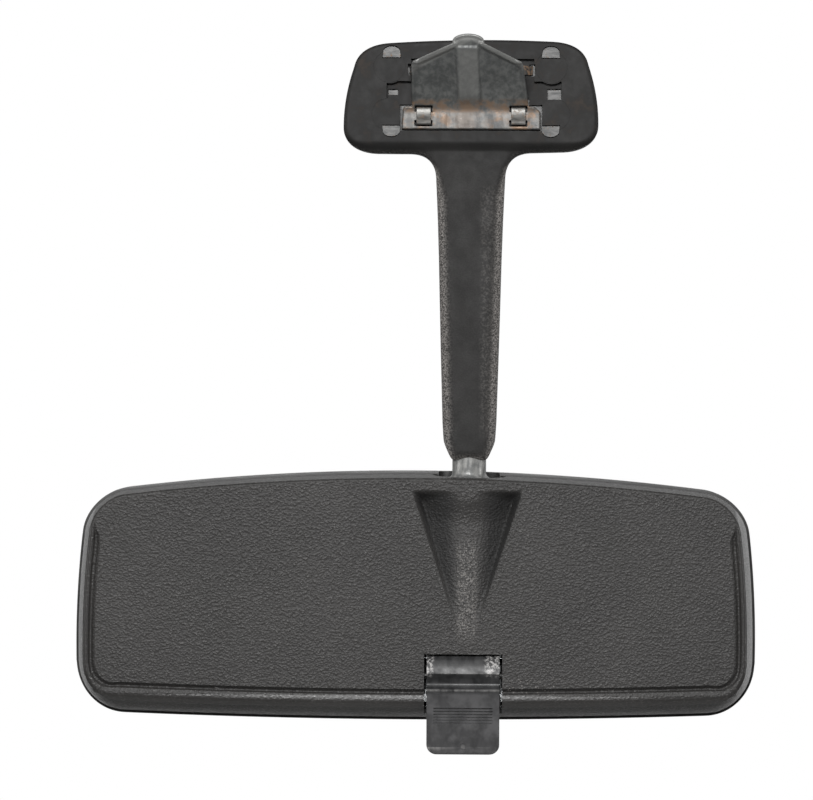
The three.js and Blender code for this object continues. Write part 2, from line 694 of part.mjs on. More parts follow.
function makePad(sign) {
  const centre = HEAD_X + sign * PAD_X;
  const side = [
    [PAD_BACK, -55], [glassBackAt(-55) - GAP, -55], [glassBackAt(-5) - GAP, -5], [PAD_BACK, -5],
  ];
  return prism(side, centre - 6, centre + 6, 'x');
}

function makeHingePin(sign) {
  const [near, far] = [12.8 * sign, 22 * sign].sort((a, b) => a - b);
  return cylinder(HINGE_PIN_RADIUS, near, far, 'x', [0, 0], 20);
}

// ---------------------------------------------------------------- dip lever

function makeLever() {
  const hub = steps(7, 100, 12).map((degrees) => {
    const angle = THREE.MathUtils.degToRad(degrees);
    return [AXLE[0] - HUB_RADIUS * Math.cos(angle), AXLE[1] + HUB_RADIUS * Math.sin(angle)];
  });
  const side = [
    ...hub, [-7, -47.73], [-3.4, -52.87], [-3.4, -57.2], [-7, -59.6], [-10, -60], [-12.6, -62],
    [-12.8, -69], [-12.2, -76.8], [-12.9, -77.6], [-14.3, -77.6], [-15, -76.9], [-15.6, -69],
    [-16.2, -61.8], [-16.4, -58.5], [-17, -58], [-16.7, -57.5], [-14.7, -56.1], [-15, -54.8],
  ];
  const blank = prism(side, LEVER_X - LEVER_HALF_WIDTH, LEVER_X + LEVER_HALF_WIDTH, 'x');
  const front = mirrored([
    [0, -80], [7.6, -80], [9.2, -77.2], [10.5, -76.2], [LEVER_HALF_WIDTH, -74.6], [LEVER_HALF_WIDTH, -40],
    [0, -40],
  ]);
  const rounded = blank.intersect(prism(shifted(front, LEVER_X), -30, 10, 'y'));
  const grooves = steps(GROOVE.lowest, GROOVE.highest, GROOVE.count - 1).map((z) => (
    box([LEVER_X - GROOVE.halfLength, LEVER_X + GROOVE.halfLength], [-18, GROOVE.floor], grown([z, z], 0.25))
  ));
  return cut(
    rounded,
    box([LEVER_X - 3.8, LEVER_X + 3.8], [-13.2, 3], [-51.4, -40]),
    box([LEVER_X - 3.8, LEVER_X + 3.8], [-18, 3], [-47.2, -40]),
    cylinder(AXLE_HOLE_RADIUS, LEVER_X - 20, LEVER_X + 20, 'x', AXLE, 16),
    cylinder(AXLE_HOLE_RADIUS, LEVER_X - 5.8, LEVER_X + 5.8, 'x', ECCENTRIC, 16),
    ...grooves,
  );
}

function makeDetentSpring() {
  const side = [
    [-3.1, -63], [-2.6, -63], [-2.6, -50.2], [-2.0, -49.5], [-2.4, -49.2], [-3.1, -50],
  ];
  return prism(side, 4.5, 9.5, 'x');
}

// ---------------------------------------------------------------- assembly

const group = new THREE.Group();
const head = new THREE.Group();
head.position.set(...BALL);
group.add(head);

addPiece(group, 'arm_skin', makeSkin(), MATERIALS.foam);
addPiece(group, 'base_insert_plate', makePlate(), MATERIALS.steel);
addPiece(group, 'arm_core', makeCore(), MATERIALS.zinc);
addPiece(group, 'mount_tongue', makeTongue(), MATERIALS.zinc);
addPiece(group, 'tongue_leaf_spring', makeLeafSpring(), MATERIALS.rusty);

addPiece(head, 'ball_stud', makeBallStud(), MATERIALS.zinc);
addPiece(head, 'upper_ball_seat', makeUpperSeat(), MATERIALS.nylon);
addPiece(head, 'lower_ball_seat', makeLowerSeat(), MATERIALS.nylon);
addPiece(head, 'socket_carrier', makeCarrier(), MATERIALS.steel);
addPiece(head, 'clamp_plate', makeClampPlate(), MATERIALS.steel);
addPiece(head, 'rear_shell', makeShell(), MATERIALS.shell);
addPiece(head, 'bezel_frame', makeBezel(), MATERIALS.bezel);
addPiece(head, 'mirror_glass', makeGlass(), MATERIALS.glass);
addPiece(head, 'dip_lever', makeLever(), MATERIALS.lever);
const leverAxle = cylinder(AXLE_RADIUS, LEVER_X - 14.7, LEVER_X + 14.7, 'x', AXLE, 16);
addPiece(head, 'lever_axle', leverAxle, MATERIALS.steel);
const eccentricPin = cylinder(1.25, LEVER_X - 5.5, LEVER_X + 5.5, 'x', ECCENTRIC, 16);
addPiece(head, 'eccentric_pin', eccentricPin, MATERIALS.steel);
addPiece(head, 'detent_spring', makeDetentSpring(), MATERIALS.steel);

for (const [side, sign] of [['left', -1], ['right', 1]]) {
  addPiece(group, `tongue_clip_${side}`, makeClip(sign), MATERIALS.rusty);
  addPiece(group, `core_rivet_${side}`, makeRivet(sign), MATERIALS.steel);
  addPiece(head, `clamp_screw_${side}`, makeClampScrew(sign), MATERIALS.steel);
  addPiece(head, `clamp_spring_${side}`, makeClampSpring(sign), MATERIALS.steel);
  addPiece(head, `glass_pad_${side}`, makePad(sign), MATERIALS.pad);
  addPiece(head, `dip_hinge_pin_${side}`, makeHingePin(sign), MATERIALS.steel);
}

export default group;
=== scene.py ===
"""Interior rearview mirror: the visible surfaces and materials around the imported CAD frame.

Shapes are written in millimetres and turned into metres when a mesh is made.  Pieces of the mirror head and
the ball stud are written in coordinates measured from the centre of the ball joint, as in the CAD model.
Colours are linear.  In the materials, places are absolute millimetres in the frame.
"""
import json
import math

import bmesh
import bpy
import numpy as np
from mathutils import Matrix, Vector


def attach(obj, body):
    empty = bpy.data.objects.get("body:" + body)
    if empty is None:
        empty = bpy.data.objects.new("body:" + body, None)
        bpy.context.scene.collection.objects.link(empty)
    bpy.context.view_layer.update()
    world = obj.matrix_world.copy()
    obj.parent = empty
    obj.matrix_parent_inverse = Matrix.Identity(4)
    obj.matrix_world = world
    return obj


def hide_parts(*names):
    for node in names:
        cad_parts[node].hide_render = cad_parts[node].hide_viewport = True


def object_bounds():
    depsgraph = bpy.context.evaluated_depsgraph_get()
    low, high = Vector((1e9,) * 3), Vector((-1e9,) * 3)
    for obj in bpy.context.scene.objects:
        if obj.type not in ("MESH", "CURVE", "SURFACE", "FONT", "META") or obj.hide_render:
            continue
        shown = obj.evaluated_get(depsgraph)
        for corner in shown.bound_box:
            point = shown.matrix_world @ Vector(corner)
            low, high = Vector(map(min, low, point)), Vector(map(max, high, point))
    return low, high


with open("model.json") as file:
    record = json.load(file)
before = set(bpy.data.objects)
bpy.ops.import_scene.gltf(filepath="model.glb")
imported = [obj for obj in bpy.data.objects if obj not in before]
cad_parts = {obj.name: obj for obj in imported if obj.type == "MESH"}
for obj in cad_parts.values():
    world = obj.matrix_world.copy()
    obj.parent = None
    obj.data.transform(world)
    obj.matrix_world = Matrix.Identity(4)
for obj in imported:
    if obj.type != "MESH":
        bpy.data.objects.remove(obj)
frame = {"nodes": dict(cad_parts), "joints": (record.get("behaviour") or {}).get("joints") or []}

cad_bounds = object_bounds()

MM = 0.001
JOINTS = {joint["name"]: joint for joint in frame["joints"]}
BALL = np.array(JOINTS["pan"]["pos_m"]) / MM
LEVER_AXIS = np.array(JOINTS["lever_flip"]["pos_m"]) / MM - BALL
LEVER_X = LEVER_AXIS[0]

# Head, measured from the ball centre
HEAD_X = -16.4
HEAD_TOP = 8.4
HEAD_BOTTOM = -68.5
HEAD_HALF_WIDTH = 105.0
SHELL_BACK = -16.0
SHELL_RIM = 5.7
SHELL_WALL = 1.8
SPIGOT_END = 10.0
BEZEL_BACK = 6.0
BEZEL_FRONT = 20.0
GLASS_FRONT = 18.2
NECK_NOTCH_RADIUS = 11.2
LEVER_HALF_WIDTH = 11.1
NOTCH_HALF_WIDTH = 11.9
NOTCH_TOP = -47.0
HUB_RADIUS = 9.7
LEVER_SLOT_HALF_WIDTH = 3.8
HINGE_HOLE_RADIUS = 1.8
AXLE_HOLE_RADIUS = 1.55
ECCENTRIC_HOLE = (-8.86, -48.09)
SCOOP_X = -0.5
SCOOP_TOP = 2.7
SCOOP_BOTTOM = -43.0
SCOOP_HALF_WIDTH = 16.8
SCOOP_TAPER = 0.335
SCOOP_DEPTH = 6.0
PAD_X = 60
PAD_BACK = 11.55
PAD_GAP = 0.35
BALL_RADIUS = 9.0
NECK_RADIUS = 5.2
NECK_END = 13.2
SHANK_RADIUS = 3.6
SHANK_END = 30

# Mounting base and arm, in the part's own frame
BASE_HALF_WIDTH = 39.05
BASE_TOP = 17.2
BASE_BOTTOM = -17.4
BASE_FRONT = 13.0
BASE_LEAN = 0.012
WINDOW_FLOOR = 1.9
PLATE_BACK = 3.0
DISC_RADIUS = 5.0
DISC_CENTRES = ((-25, 8.8), (24.6, 8.7), (-25.5, -5.8), (25.5, -5.7))
MOON_HALF_WIDTH = 2.85
MOON_DEPTH = 3.4
MOONS = ((-24.4, 11.5, 15.4), (24.4, 11.5, 15.4), (-24.4, -8.9, -12.7), (24.4, -8.9, -12.7))
CLIP_X = 14.5
CLIP_HALF_WIDTH = 2.2

# Openings in the skin over the base, as (x range, z range): shallow recesses, and windows down to the plate
RECESSES = (((-18.4, 19.3), (-3.2, 11.4)), ((-25.9, -17), (-3.2, 4.5)), ((17, 27.7), (-3.2, 4.5)))
WINDOWS = (((-21.8, 21.8), (-10.7, -2.6)), ((-17.8, 17.8), (-3, -0.6)), ((-12, 12), (-3, 10.4)),
           ((-19.4, -17.8), (6.2, 9.8)), ((17.8, 19.5), (6.2, 9.8)), ((-25.4, -22.4), (0.4, 2.2)),
           ((23.4, 27.6), (-1, 2.4)))


# ---------------------------------------------------------------- numbers and curves

def smoothstep(low, high, value):
    """0 at low, 1 at high and a soft rise between them; low may be the larger one."""
    t = np.clip((value - low) / (high - low), 0, 1)
    return t * t * (3 - 2 * t)


def smooth_min(a, b, reach):
    """The smaller of two values, blended where they are less than a reach apart."""
    overlap = np.clip(reach - np.abs(a - b), 0, None) / reach
    return np.minimum(a, b) - overlap ** 2 * reach / 4


def above_zero(a, reach):
    """a where it is well above 0, exactly 0 where it is well below, with a soft turn between."""
    turn = (a + reach) ** 2 / (4 * reach)
    return np.where(a > reach, a, np.where(a < -reach, 0.0, turn))


def bezier(points, count):
    """count points along a cubic curve, its last point left out."""
    p = np.array(points, float)
    t = (np.arange(count) / count)[:, None]
    return p[0] * (1 - t) ** 3 + 3 * p[1] * t * (1 - t) ** 2 + 3 * p[2] * t ** 2 * (1 - t) + p[3] * t ** 3


def along(start, end, count, height):
    """count points (x, height(x)) from x = start towards x = end, the end left out."""
    x = start + (end - start) * np.arange(count) / count
    return np.stack([x, height(x)], axis=1)


def mirrored(half):
    """Completes the right half of an outline, given from bottom centre to top centre."""
    left = half[1:-1][::-1] * [-1, 1]
    return np.vstack([half, left])


def outward_normals(outline):
    """Unit normals of an outline that runs counterclockwise."""
    step = np.roll(outline, -1, axis=0) - np.roll(outline, 1, axis=0)
    normals = np.stack([step[:, 1], -step[:, 0]], axis=1)
    return normals / np.linalg.norm(normals, axis=1)[:, None]


def head_outline():
    """The head's outline seen from the rear, in the XZ plane."""
    side_z = np.linspace(-50.5, -10.5, 24, endpoint=False)
    side = np.stack([HEAD_HALF_WIDTH - (side_z + 44) ** 2 / 600, side_z], axis=1)
    half = np.vstack([
        along(0, 90, 60, lambda x: HEAD_BOTTOM + x ** 2 / 4800),
        bezier([(90, -66.81), (98.5, -66.4), (104.67, -59.2), (104.85, -50.5)], 30),
        side,
        bezier([(103.1, -10.5), (102.35, -3.9), (96, 2.1), (89, 2.95)], 30),
        along(89, 0, 60, lambda x: HEAD_TOP - x ** 2 / 1454),
        [(0, HEAD_TOP)],
    ])
    return mirrored(half) + [HEAD_X, 0]


def base_outline():
    """The mounting base's outline, which leans a little, in the XZ plane."""
    side_z = np.linspace(-9.5, 9.3, 10, endpoint=False)
    side = np.stack([BASE_HALF_WIDTH - (side_z + 9) ** 2 / 106, side_z], axis=1)
    outline = mirrored(np.vstack([
        along(0, 29, 12, lambda x: BASE_BOTTOM + x ** 2 / 2800),
        bezier([(29, -17.1), (35, -16.75), (39.05, -13.8), (39.05, -9.5)], 12),
        side,
        bezier([(35.9, 9.3), (35.03, 13.6), (31.2, 16.16), (25, 16.5)], 12),
        along(25, 0, 12, lambda x: BASE_TOP - x ** 2 / 893),
        [(0, BASE_TOP)],
    ]))
    outline[:, 1] += BASE_LEAN * outline[:, 0]
    return outline


# ---------------------------------------------------------------- meshes

def mesh_from(points, faces):
    """A mesh from points in millimetres, its normals turned outwards."""
    mesh = bpy.data.meshes.new("surface")
    mesh.from_pydata((np.asarray(points, float) * MM).tolist(), [], faces)
    made = bmesh.new()
    made.from_mesh(mesh)
    bmesh.ops.recalc_face_normals(made, faces=made.faces)
    made.to_mesh(mesh)
    made.free()
    return mesh


def loft(rings, ring_loop=False):
    """A closed surface through rings of matching points; ring_loop joins the last ring to the first."""
    rings = np.asarray(rings, float)
    rows, count = rings.shape[:2]
    faces = []
    for row in range(rows if ring_loop else rows - 1):
        near = row * count
        far = (row + 1) % rows * count
        for i in range(count):
            j = (i + 1) % count
            faces.append((near + i, near + j, far + j, far + i))
    if not ring_loop:
        faces.append(tuple(reversed(range(count))))
        faces.append(tuple(range((rows - 1) * count, rows * count)))
    return mesh_from(rings.reshape(-1, 3), faces)


def in_space(outline, at, axis):
    """Puts an outline across an axis: x -> (y, z), y -> (x, z), z -> (x, y)."""
    outline = np.asarray(outline, float)
    return np.insert(outline, "xyz".index(axis), at, axis=1)


def prism(outline, start, end, axis):
    """An outline pushed along an axis from start to end."""
    return loft([in_space(outline, start, axis), in_space(outline, end, axis)])


def box(x, y, z):
    corners = [(x[0], y[0]), (x[1], y[0]), (x[1], y[1]), (x[0], y[1])]
    return prism(corners, z[0], z[1], "z")


def circle(radius, sides, centre=(0, 0)):
    angle = 2 * np.pi * np.arange(sides) / sides
    return np.stack([centre[0] + radius * np.cos(angle), centre[1] + radius * np.sin(angle)], axis=1)


def cylinder(radius, start, end, axis, sides, centre=(0, 0)):
    return prism(circle(radius, sides, centre), start, end, axis)


def turned(profile, sides):
    """A solid of revolution about Z from (radius, height) points, small end discs at both ends."""
    return loft([in_space(circle(max(radius, 0.01), sides), height, "z") for radius, height in profile])


def temporary(mesh):
    obj = bpy.data.objects.new("helper", mesh)
    bpy.context.scene.collection.objects.link(obj)
    return obj


def applied(obj, *helpers):
    """The object's mesh with its modifiers applied; the object and its helpers are removed."""
    graph = bpy.context.evaluated_depsgraph_get()
    mesh = bpy.data.meshes.new_from_object(obj.evaluated_get(graph))
    for used in (obj, *helpers):
        bpy.data.objects.remove(used)
    return mesh


def combined(mesh, tools, operation):
    """The mesh after one boolean operation with each of the tools in turn."""
    host = temporary(mesh)
    helpers = [temporary(tool) for tool in tools]
    for helper in helpers:
        modifier = host.modifiers.new("boolean", "BOOLEAN")
        modifier.operation = operation
        modifier.solver = "MANIFOLD"
        modifier.object = helper
    return applied(host, *helpers)


def cut(mesh, *tools):
    return combined(mesh, tools, "DIFFERENCE")


def joined(mesh, *tools):
    return combined(mesh, tools, "UNION")


def common(mesh, *tools):
    return combined(mesh, tools, "INTERSECT")


def bevelled(mesh, width, segments, angle):
    """Bevels the edges that are sharper than an angle in degrees."""
    host = temporary(mesh)
    modifier = host.modifiers.new("bevel", "BEVEL")
    modifier.width = width * MM
    modifier.segments = segments
    modifier.limit_method = "ANGLE"
    modifier.angle_limit = math.radians(angle)
    return applied(host)


def surface_net(field, origin, step):
    """The zero surface of a field sampled on a grid, as a mesh of near-square faces."""
    inside = field < 0
    shape = np.array(field.shape)
    cells = int(np.prod(shape - 1))
    total = np.zeros((cells, 3))
    hits = np.zeros(cells)
    quads = []
    for axis in range(3):
        low = [slice(None)] * 3
        high = [slice(None)] * 3
        low[axis] = slice(0, -1)
        high[axis] = slice(1, None)
        crossing = np.argwhere(inside[tuple(low)] != inside[tuple(high)])
        ahead = crossing.copy()
        ahead[:, axis] += 1
        near = field[tuple(crossing.T)]
        far = field[tuple(ahead.T)]
        place = crossing.astype(float)
        place[:, axis] += near / (near - far)
        u, v = [other for other in range(3) if other != axis]
        ring = []
        for du, dv in ((1, 1), (0, 1), (0, 0), (1, 0)):
            cell = crossing.copy()
            cell[:, u] -= du
            cell[:, v] -= dv
            index = np.ravel_multi_index(tuple(cell.T), tuple(shape - 1))
            ring.append(index)
            hits += np.bincount(index, minlength=cells)
            for k in range(3):
                total[:, k] += np.bincount(index, weights=place[:, k], minlength=cells)
        quad = np.stack(ring, axis=1)
        flip = (near < 0) == (axis != 1)
        quad[flip] = quad[flip][:, ::-1]
        quads.append(quad)
    used = np.flatnonzero(hits)
    number = np.zeros(cells, int)
    number[used] = np.arange(len(used))
    points = total[used] / hits[used, None] * step + origin
    return mesh_from(points, number[np.vstack(quads)].tolist())


def outline_distance(x, z, outline):
    """Signed distance to a closed outline in the XZ plane, negative inside."""
    best = np.full(x.shape, np.inf)
    inside = np.zeros(x.shape, bool)
    for (x0, z0), (x1, z1) in zip(outline, np.roll(outline, -1, axis=0)):
        dx, dz = x1 - x0, z1 - z0
        t = np.clip(((x - x0) * dx + (z - z0) * dz) / (dx * dx + dz * dz), 0, 1)
        best = np.minimum(best, (x - x0 - t * dx) ** 2 + (z - z0 - t * dz) ** 2)
        if z0 != z1:
            inside ^= ((z0 > z) != (z1 > z)) & (x < x0 + (z - z0) * dx / dz)
    return np.where(inside, -1, 1) * np.sqrt(best)


def rounded_meeting(a, b, radius):
    """Where two half spaces meet, the solid they share with its edge rounded to a radius."""
    u = a + radius
    v = b + radius
    return np.minimum(np.maximum(u, v), 0) + np.hypot(np.maximum(u, 0), np.maximum(v, 0)) - radius


# ---------------------------------------------------------------- materials

# Where the shell's grained face ends, and how wide the scoops' taper would be at the origin's height
FACE_LEFT = -114.2
FACE_RIGHT = 81.4
FACE_BOTTOM = -183.4
SCOOP_EDGE_AT_ORIGIN = 57.6

class Shader:
    """A material with one Principled shader, and short ways to add the nodes that drive it.

    The plain colour and roughness it starts with stand in wherever the nodes are not evaluated.
    """

    def __init__(self, name, colour, roughness, metallic=0.0, **values):
        self.material = bpy.data.materials.new(name)
        self.material.use_nodes = True
        self.tree = self.material.node_tree
        self.shader = self.tree.nodes["Principled BSDF"]
        self.shader.inputs["Base Color"].default_value = (*colour, 1)
        self.shader.inputs["Roughness"].default_value = roughness
        self.shader.inputs["Metallic"].default_value = metallic
        for socket, value in values.items():
            self.shader.inputs[socket.replace("_", " ")].default_value = value
        self.place = self.node("ShaderNodeTexCoord").outputs["Object"]

    def node(self, kind, inputs=None, **properties):
        node = self.tree.nodes.new(kind)
        for key, value in properties.items():
            setattr(node, key, value)
        for key, value in (inputs or {}).items():
            if isinstance(value, bpy.types.NodeSocket):
                self.tree.links.new(value, node.inputs[key])
            else:
                node.inputs[key].default_value = value
        return node

    def scaled(self, factors):
        mapping = self.node("ShaderNodeMapping", {"Vector": self.place, "Scale": factors})
        return mapping.outputs["Vector"]

    def noise(self, size_mm, detail=3.0, roughness=0.55, stretch=(1, 1, 1)):
        """Noise whose patches are about size_mm across, from 0 to 1."""
        inputs = {"Vector": self.scaled(stretch), "Scale": 1 / (size_mm * MM), "Detail": detail,
                  "Roughness": roughness}
        return self.node("ShaderNodeTexNoise", inputs).outputs["Fac"]

    def cells(self, size_mm, stretch=(1, 1, 1), feature="F1"):
        inputs = {"Vector": self.scaled(stretch), "Scale": 1 / (size_mm * MM)}
        return self.node("ShaderNodeTexVoronoi", inputs, feature=feature).outputs["Distance"]

    def math(self, operation, a, b=0.0, clamp=False):
        return self.node("ShaderNodeMath", {0: a, 1: b}, operation=operation, use_clamp=clamp).outputs[0]

    def times(self, a, b):
        return self.math("MULTIPLY", a, b)

    def remap(self, value, low, high, to_low=0.0, to_high=1.0):
        inputs = {"Value": value, "From Min": low, "From Max": high, "To Min": to_low, "To Max": to_high}
        return self.node("ShaderNodeMapRange", inputs, interpolation_type="SMOOTHSTEP").outputs["Result"]

    def axis(self, name):
        """One object coordinate in metres."""
        parts = self.node("ShaderNodeSeparateXYZ", {"Vector": self.place})
        return parts.outputs[name.upper()]

    def band(self, name, low_mm, high_mm, soft_mm):
        """1 between two places along an axis, fading over soft_mm outside them."""
        value = self.axis(name)
        rise = self.remap(value, (low_mm - soft_mm) * MM, low_mm * MM)
        fall = self.remap(value, high_mm * MM, (high_mm + soft_mm) * MM, 1.0, 0.0)
        return self.times(rise, fall)

    def patch(self, x_band, z_band):
        """1 inside a rectangle seen from the rear; each band is (low, high, soft) in mm."""
        return self.times(self.band("x", *x_band), self.band("z", *z_band))

    def mix(self, amount, a, b):
        node = self.node("ShaderNodeMix", data_type="RGBA")
        for socket, value in ((node.inputs[0], amount), (node.inputs[6], a), (node.inputs[7], b)):
            if isinstance(value, bpy.types.NodeSocket):
                self.tree.links.new(value, socket)
            elif isinstance(value, tuple):
                socket.default_value = (*value, 1)
            else:
                socket.default_value = value
        return node.outputs[2]

    def drive(self, socket, value):
        self.tree.links.new(value, self.shader.inputs[socket])

    def bump(self, height, depth_mm, strength):
        inputs = {"Height": height, "Distance": depth_mm * MM, "Strength": strength}
        previous = self.shader.inputs["Normal"].links
        if previous:
            inputs["Normal"] = previous[0].from_socket
        self.drive("Normal", self.node("ShaderNodeBump", inputs).outputs["Normal"])

    def convex(self, low, high):
        """1 on convex edges, from the mesh's own curvature."""
        return self.remap(self.node("ShaderNodeNewGeometry").outputs["Pointiness"], low, high)


def leather_grain(shader, size_mm):
    """A pebbled leather height: rounded cells of uneven size with fine creases."""
    pebbles = shader.cells(size_mm, (1, 1, 1.2), "SMOOTH_F1")
    creases = shader.noise(size_mm * 1.5, 4.0, 0.65)
    mixed = shader.math("ADD", shader.times(pebbles, -1.0), creases)
    return shader.math("ADD", mixed, 0.35)


def shell_plastic():
    """Grained black plastic: worn beside the lever, painted highlight glints on the ridge, painted shade in
    the scoops, smoother walls.
    """
    shader = Shader("shell_plastic", (0.034, 0.033, 0.032), 0.44)
    grain = leather_grain(shader, 0.68)
    patches = shader.noise(30, 2.0)
    peaks = shader.remap(grain, 0.42, 0.85, 0.0, 0.3)
    base = shader.mix(shader.remap(patches, 0.3, 0.7), (0.0235, 0.0222, 0.0212), (0.031, 0.0293, 0.028))
    colour = shader.mix(peaks, base, (0.085, 0.08, 0.076))
    specks = shader.remap(shader.noise(0.8, 3.0, 0.7), 0.6, 0.7)
    beside_lever = shader.patch((9, 24, 6), (-182, -178.5, 1.5))
    worn = shader.times(beside_lever, specks)
    # Painted highlight: light glint specks coloured onto the scoops' ridge.
    ridge = shader.patch((-2.4, 1.2, 2.4), (-162, -140, 7))
    fine = shader.noise(0.5, 3.0, 0.7)
    painted_ridge_glints = shader.times(ridge, shader.remap(fine, 0.48, 0.66, 0.0, 0.7))
    speckled = shader.mix(shader.math("MAXIMUM", worn, painted_ridge_glints), colour, (0.27, 0.255, 0.24))
    below = shader.band("z", -200, FACE_BOTTOM, 0.8)
    left = shader.remap(shader.axis("x"), FACE_LEFT * MM, (FACE_LEFT - 0.8) * MM)
    right = shader.remap(shader.axis("x"), FACE_RIGHT * MM, (FACE_RIGHT + 0.8) * MM)
    polished = shader.math("MAXIMUM", below, shader.math("MAXIMUM", left, right))
    # Painted shade: the scoops' troughs, off the ridge and in their upper part, are coloured near-black.
    sideways = shader.math("ABSOLUTE", shader.axis("x"))
    scoop_edge = shader.math("ADD", shader.times(shader.axis("z"), SCOOP_TAPER), SCOOP_EDGE_AT_ORIGIN * MM)
    within = shader.remap(shader.math("SUBTRACT", scoop_edge, sideways), 0.0, 1.6 * MM)
    off_ridge = shader.remap(sideways, 2.0 * MM, 7.5 * MM)
    high = shader.times(shader.remap(shader.axis("z"), -164 * MM, -150 * MM),
                       shader.remap(shader.axis("z"), -122.5 * MM, -120.8 * MM, 1.0, 0.0))
    scoop_shade = shader.times(shader.times(within, off_ridge), high)
    shader.drive("Base Color", shader.mix(scoop_shade, speckled, (0.009, 0.0087, 0.0084)))
    matt = shader.math("ADD", shader.remap(grain, 0.2, 0.9, 0.56, 0.4), shader.times(scoop_shade, 0.14))
    shader.drive("Roughness", shader.math("SUBTRACT", matt, shader.times(polished, 0.12)))
    height = shader.times(grain, shader.remap(polished, 0.0, 1.0, 1.0, 0.35))
    shader.bump(height, 0.22, 1.0)
    return shader.material


def skin_foam():
    """Foam skin: dusty grain with painted side light on the arm's flanks, a painted sheen on the arm's front,
    near-black smooth faces with faint brown blotches.
    """
    shader = Shader("skin_foam", (0.022, 0.021, 0.0205), 0.55, Specular_IOR_Level=0.3)
    # Partly dust, partly painted light: the arm's flanks, which turn sideways, are coloured lighter.
    window = shader.patch((-27, 29, 0.5), (-13.4, 15.8, 0.5))
    flank = shader.remap(shader.axis("y"), 1.05 * MM, 2.6 * MM)
    side = shader.math("SUBTRACT", flank, window, True)
    grain = leather_grain(shader, 0.5)
    arm_only = shader.remap(shader.axis("z"), -23 * MM, -19 * MM, 1.0, 0.12)
    dust_and_sheen = shader.times(shader.remap(grain, 0.15, 0.8, 0.16, 0.86), side)
    dust_and_sheen = shader.times(dust_and_sheen, arm_only)
    dust_and_sheen = shader.times(dust_and_sheen, shader.remap(shader.axis("y"), 5 * MM, 9 * MM, 1.0, 0.3))
    # Painted sheen: lighter specks on the right part of the arm's front face.
    painted_sheen = shader.patch((4.5, 9, 2.5), (-100, -32, 8))
    sheen_specks = shader.remap(shader.noise(0.7, 3.0, 0.7), 0.42, 0.68, 0.02, 0.16)
    painted_sheen = shader.times(painted_sheen, sheen_specks)
    dust_and_sheen = shader.math("MAXIMUM", dust_and_sheen, painted_sheen)
    blotch = shader.noise(6, 5.0, 0.65)
    brown = shader.times(shader.remap(blotch, 0.52, 0.72, 0.0, 0.75), shader.band("z", -12, 13, 4))
    patches = shader.remap(shader.noise(16), 0.3, 0.7)
    base = shader.mix(patches, (0.0085, 0.0082, 0.0079), (0.0138, 0.0132, 0.0127))
    tinted = shader.mix(brown, base, (0.036, 0.027, 0.021))
    shader.drive("Base Color", shader.mix(dust_and_sheen, tinted, (0.36, 0.338, 0.32)))
    shader.drive("Roughness", shader.remap(blotch, 0.3, 0.7, 0.54, 0.66))
    shader.bump(shader.times(grain, side), 0.4, 1.0)
    shader.bump(shader.noise(0.6, 3.0), 0.03, 0.6)
    return shader.material


def bezel_plastic():
    """Smooth black plastic with faint smears."""
    shader = Shader("bezel_plastic", (0.02, 0.0195, 0.019), 0.36)
    smear = shader.noise(9, 4.0, 0.6, (0.3, 1, 1))
    shader.drive("Roughness", shader.remap(smear, 0.3, 0.7, 0.3, 0.46))
    shader.drive("Base Color", shader.mix(smear, (0.015, 0.0148, 0.0145), (0.03, 0.029, 0.028)))
    shader.bump(shader.noise(0.5, 2.0), 0.012, 0.6)
    return shader.material


def lever_plastic():
    """Streaked black plastic with pale wear on its crest and edges, and a paler tab."""
    shader = Shader("lever_plastic", (0.03, 0.03, 0.031), 0.36, Specular_IOR_Level=0.4)
    streak = shader.noise(2.6, 5.0, 0.6, (1, 1, 0.3))
    cloud = shader.noise(5, 3.0, 0.6)
    scuff = shader.remap(shader.noise(0.9, 5.0, 0.72), 0.46, 0.6)
    crest_z = BALL[2] - 52.6
    ends = shader.math("ADD", shader.band("x", 6.5, 12, 2.5), shader.band("x", -14, -11.2, 1.2), True)
    worn_place = shader.times(ends, shader.band("z", crest_z, crest_z + 9, 2))
    edges = shader.times(shader.convex(0.52, 0.6), 0.4)
    wear = shader.math("MAXIMUM", shader.times(worn_place, scuff),
                       shader.times(edges, shader.remap(streak, 0.35, 0.6)))
    base = shader.mix(shader.remap(streak, 0.3, 0.7), (0.014, 0.0142, 0.0148), (0.046, 0.046, 0.047))
    tab = shader.times(shader.band("z", -206, -183, 1.5),
                      shader.remap(cloud, 0.35, 0.65, 0.4, 1.0))
    with_paler_tab = shader.mix(tab, base, (0.082, 0.081, 0.083))
    shader.drive("Base Color", shader.mix(wear, with_paler_tab, (0.42, 0.41, 0.4)))
    shader.drive("Roughness", shader.remap(cloud, 0.35, 0.65, 0.34, 0.52))
    shader.bump(streak, 0.05, 0.6)
    return shader.material


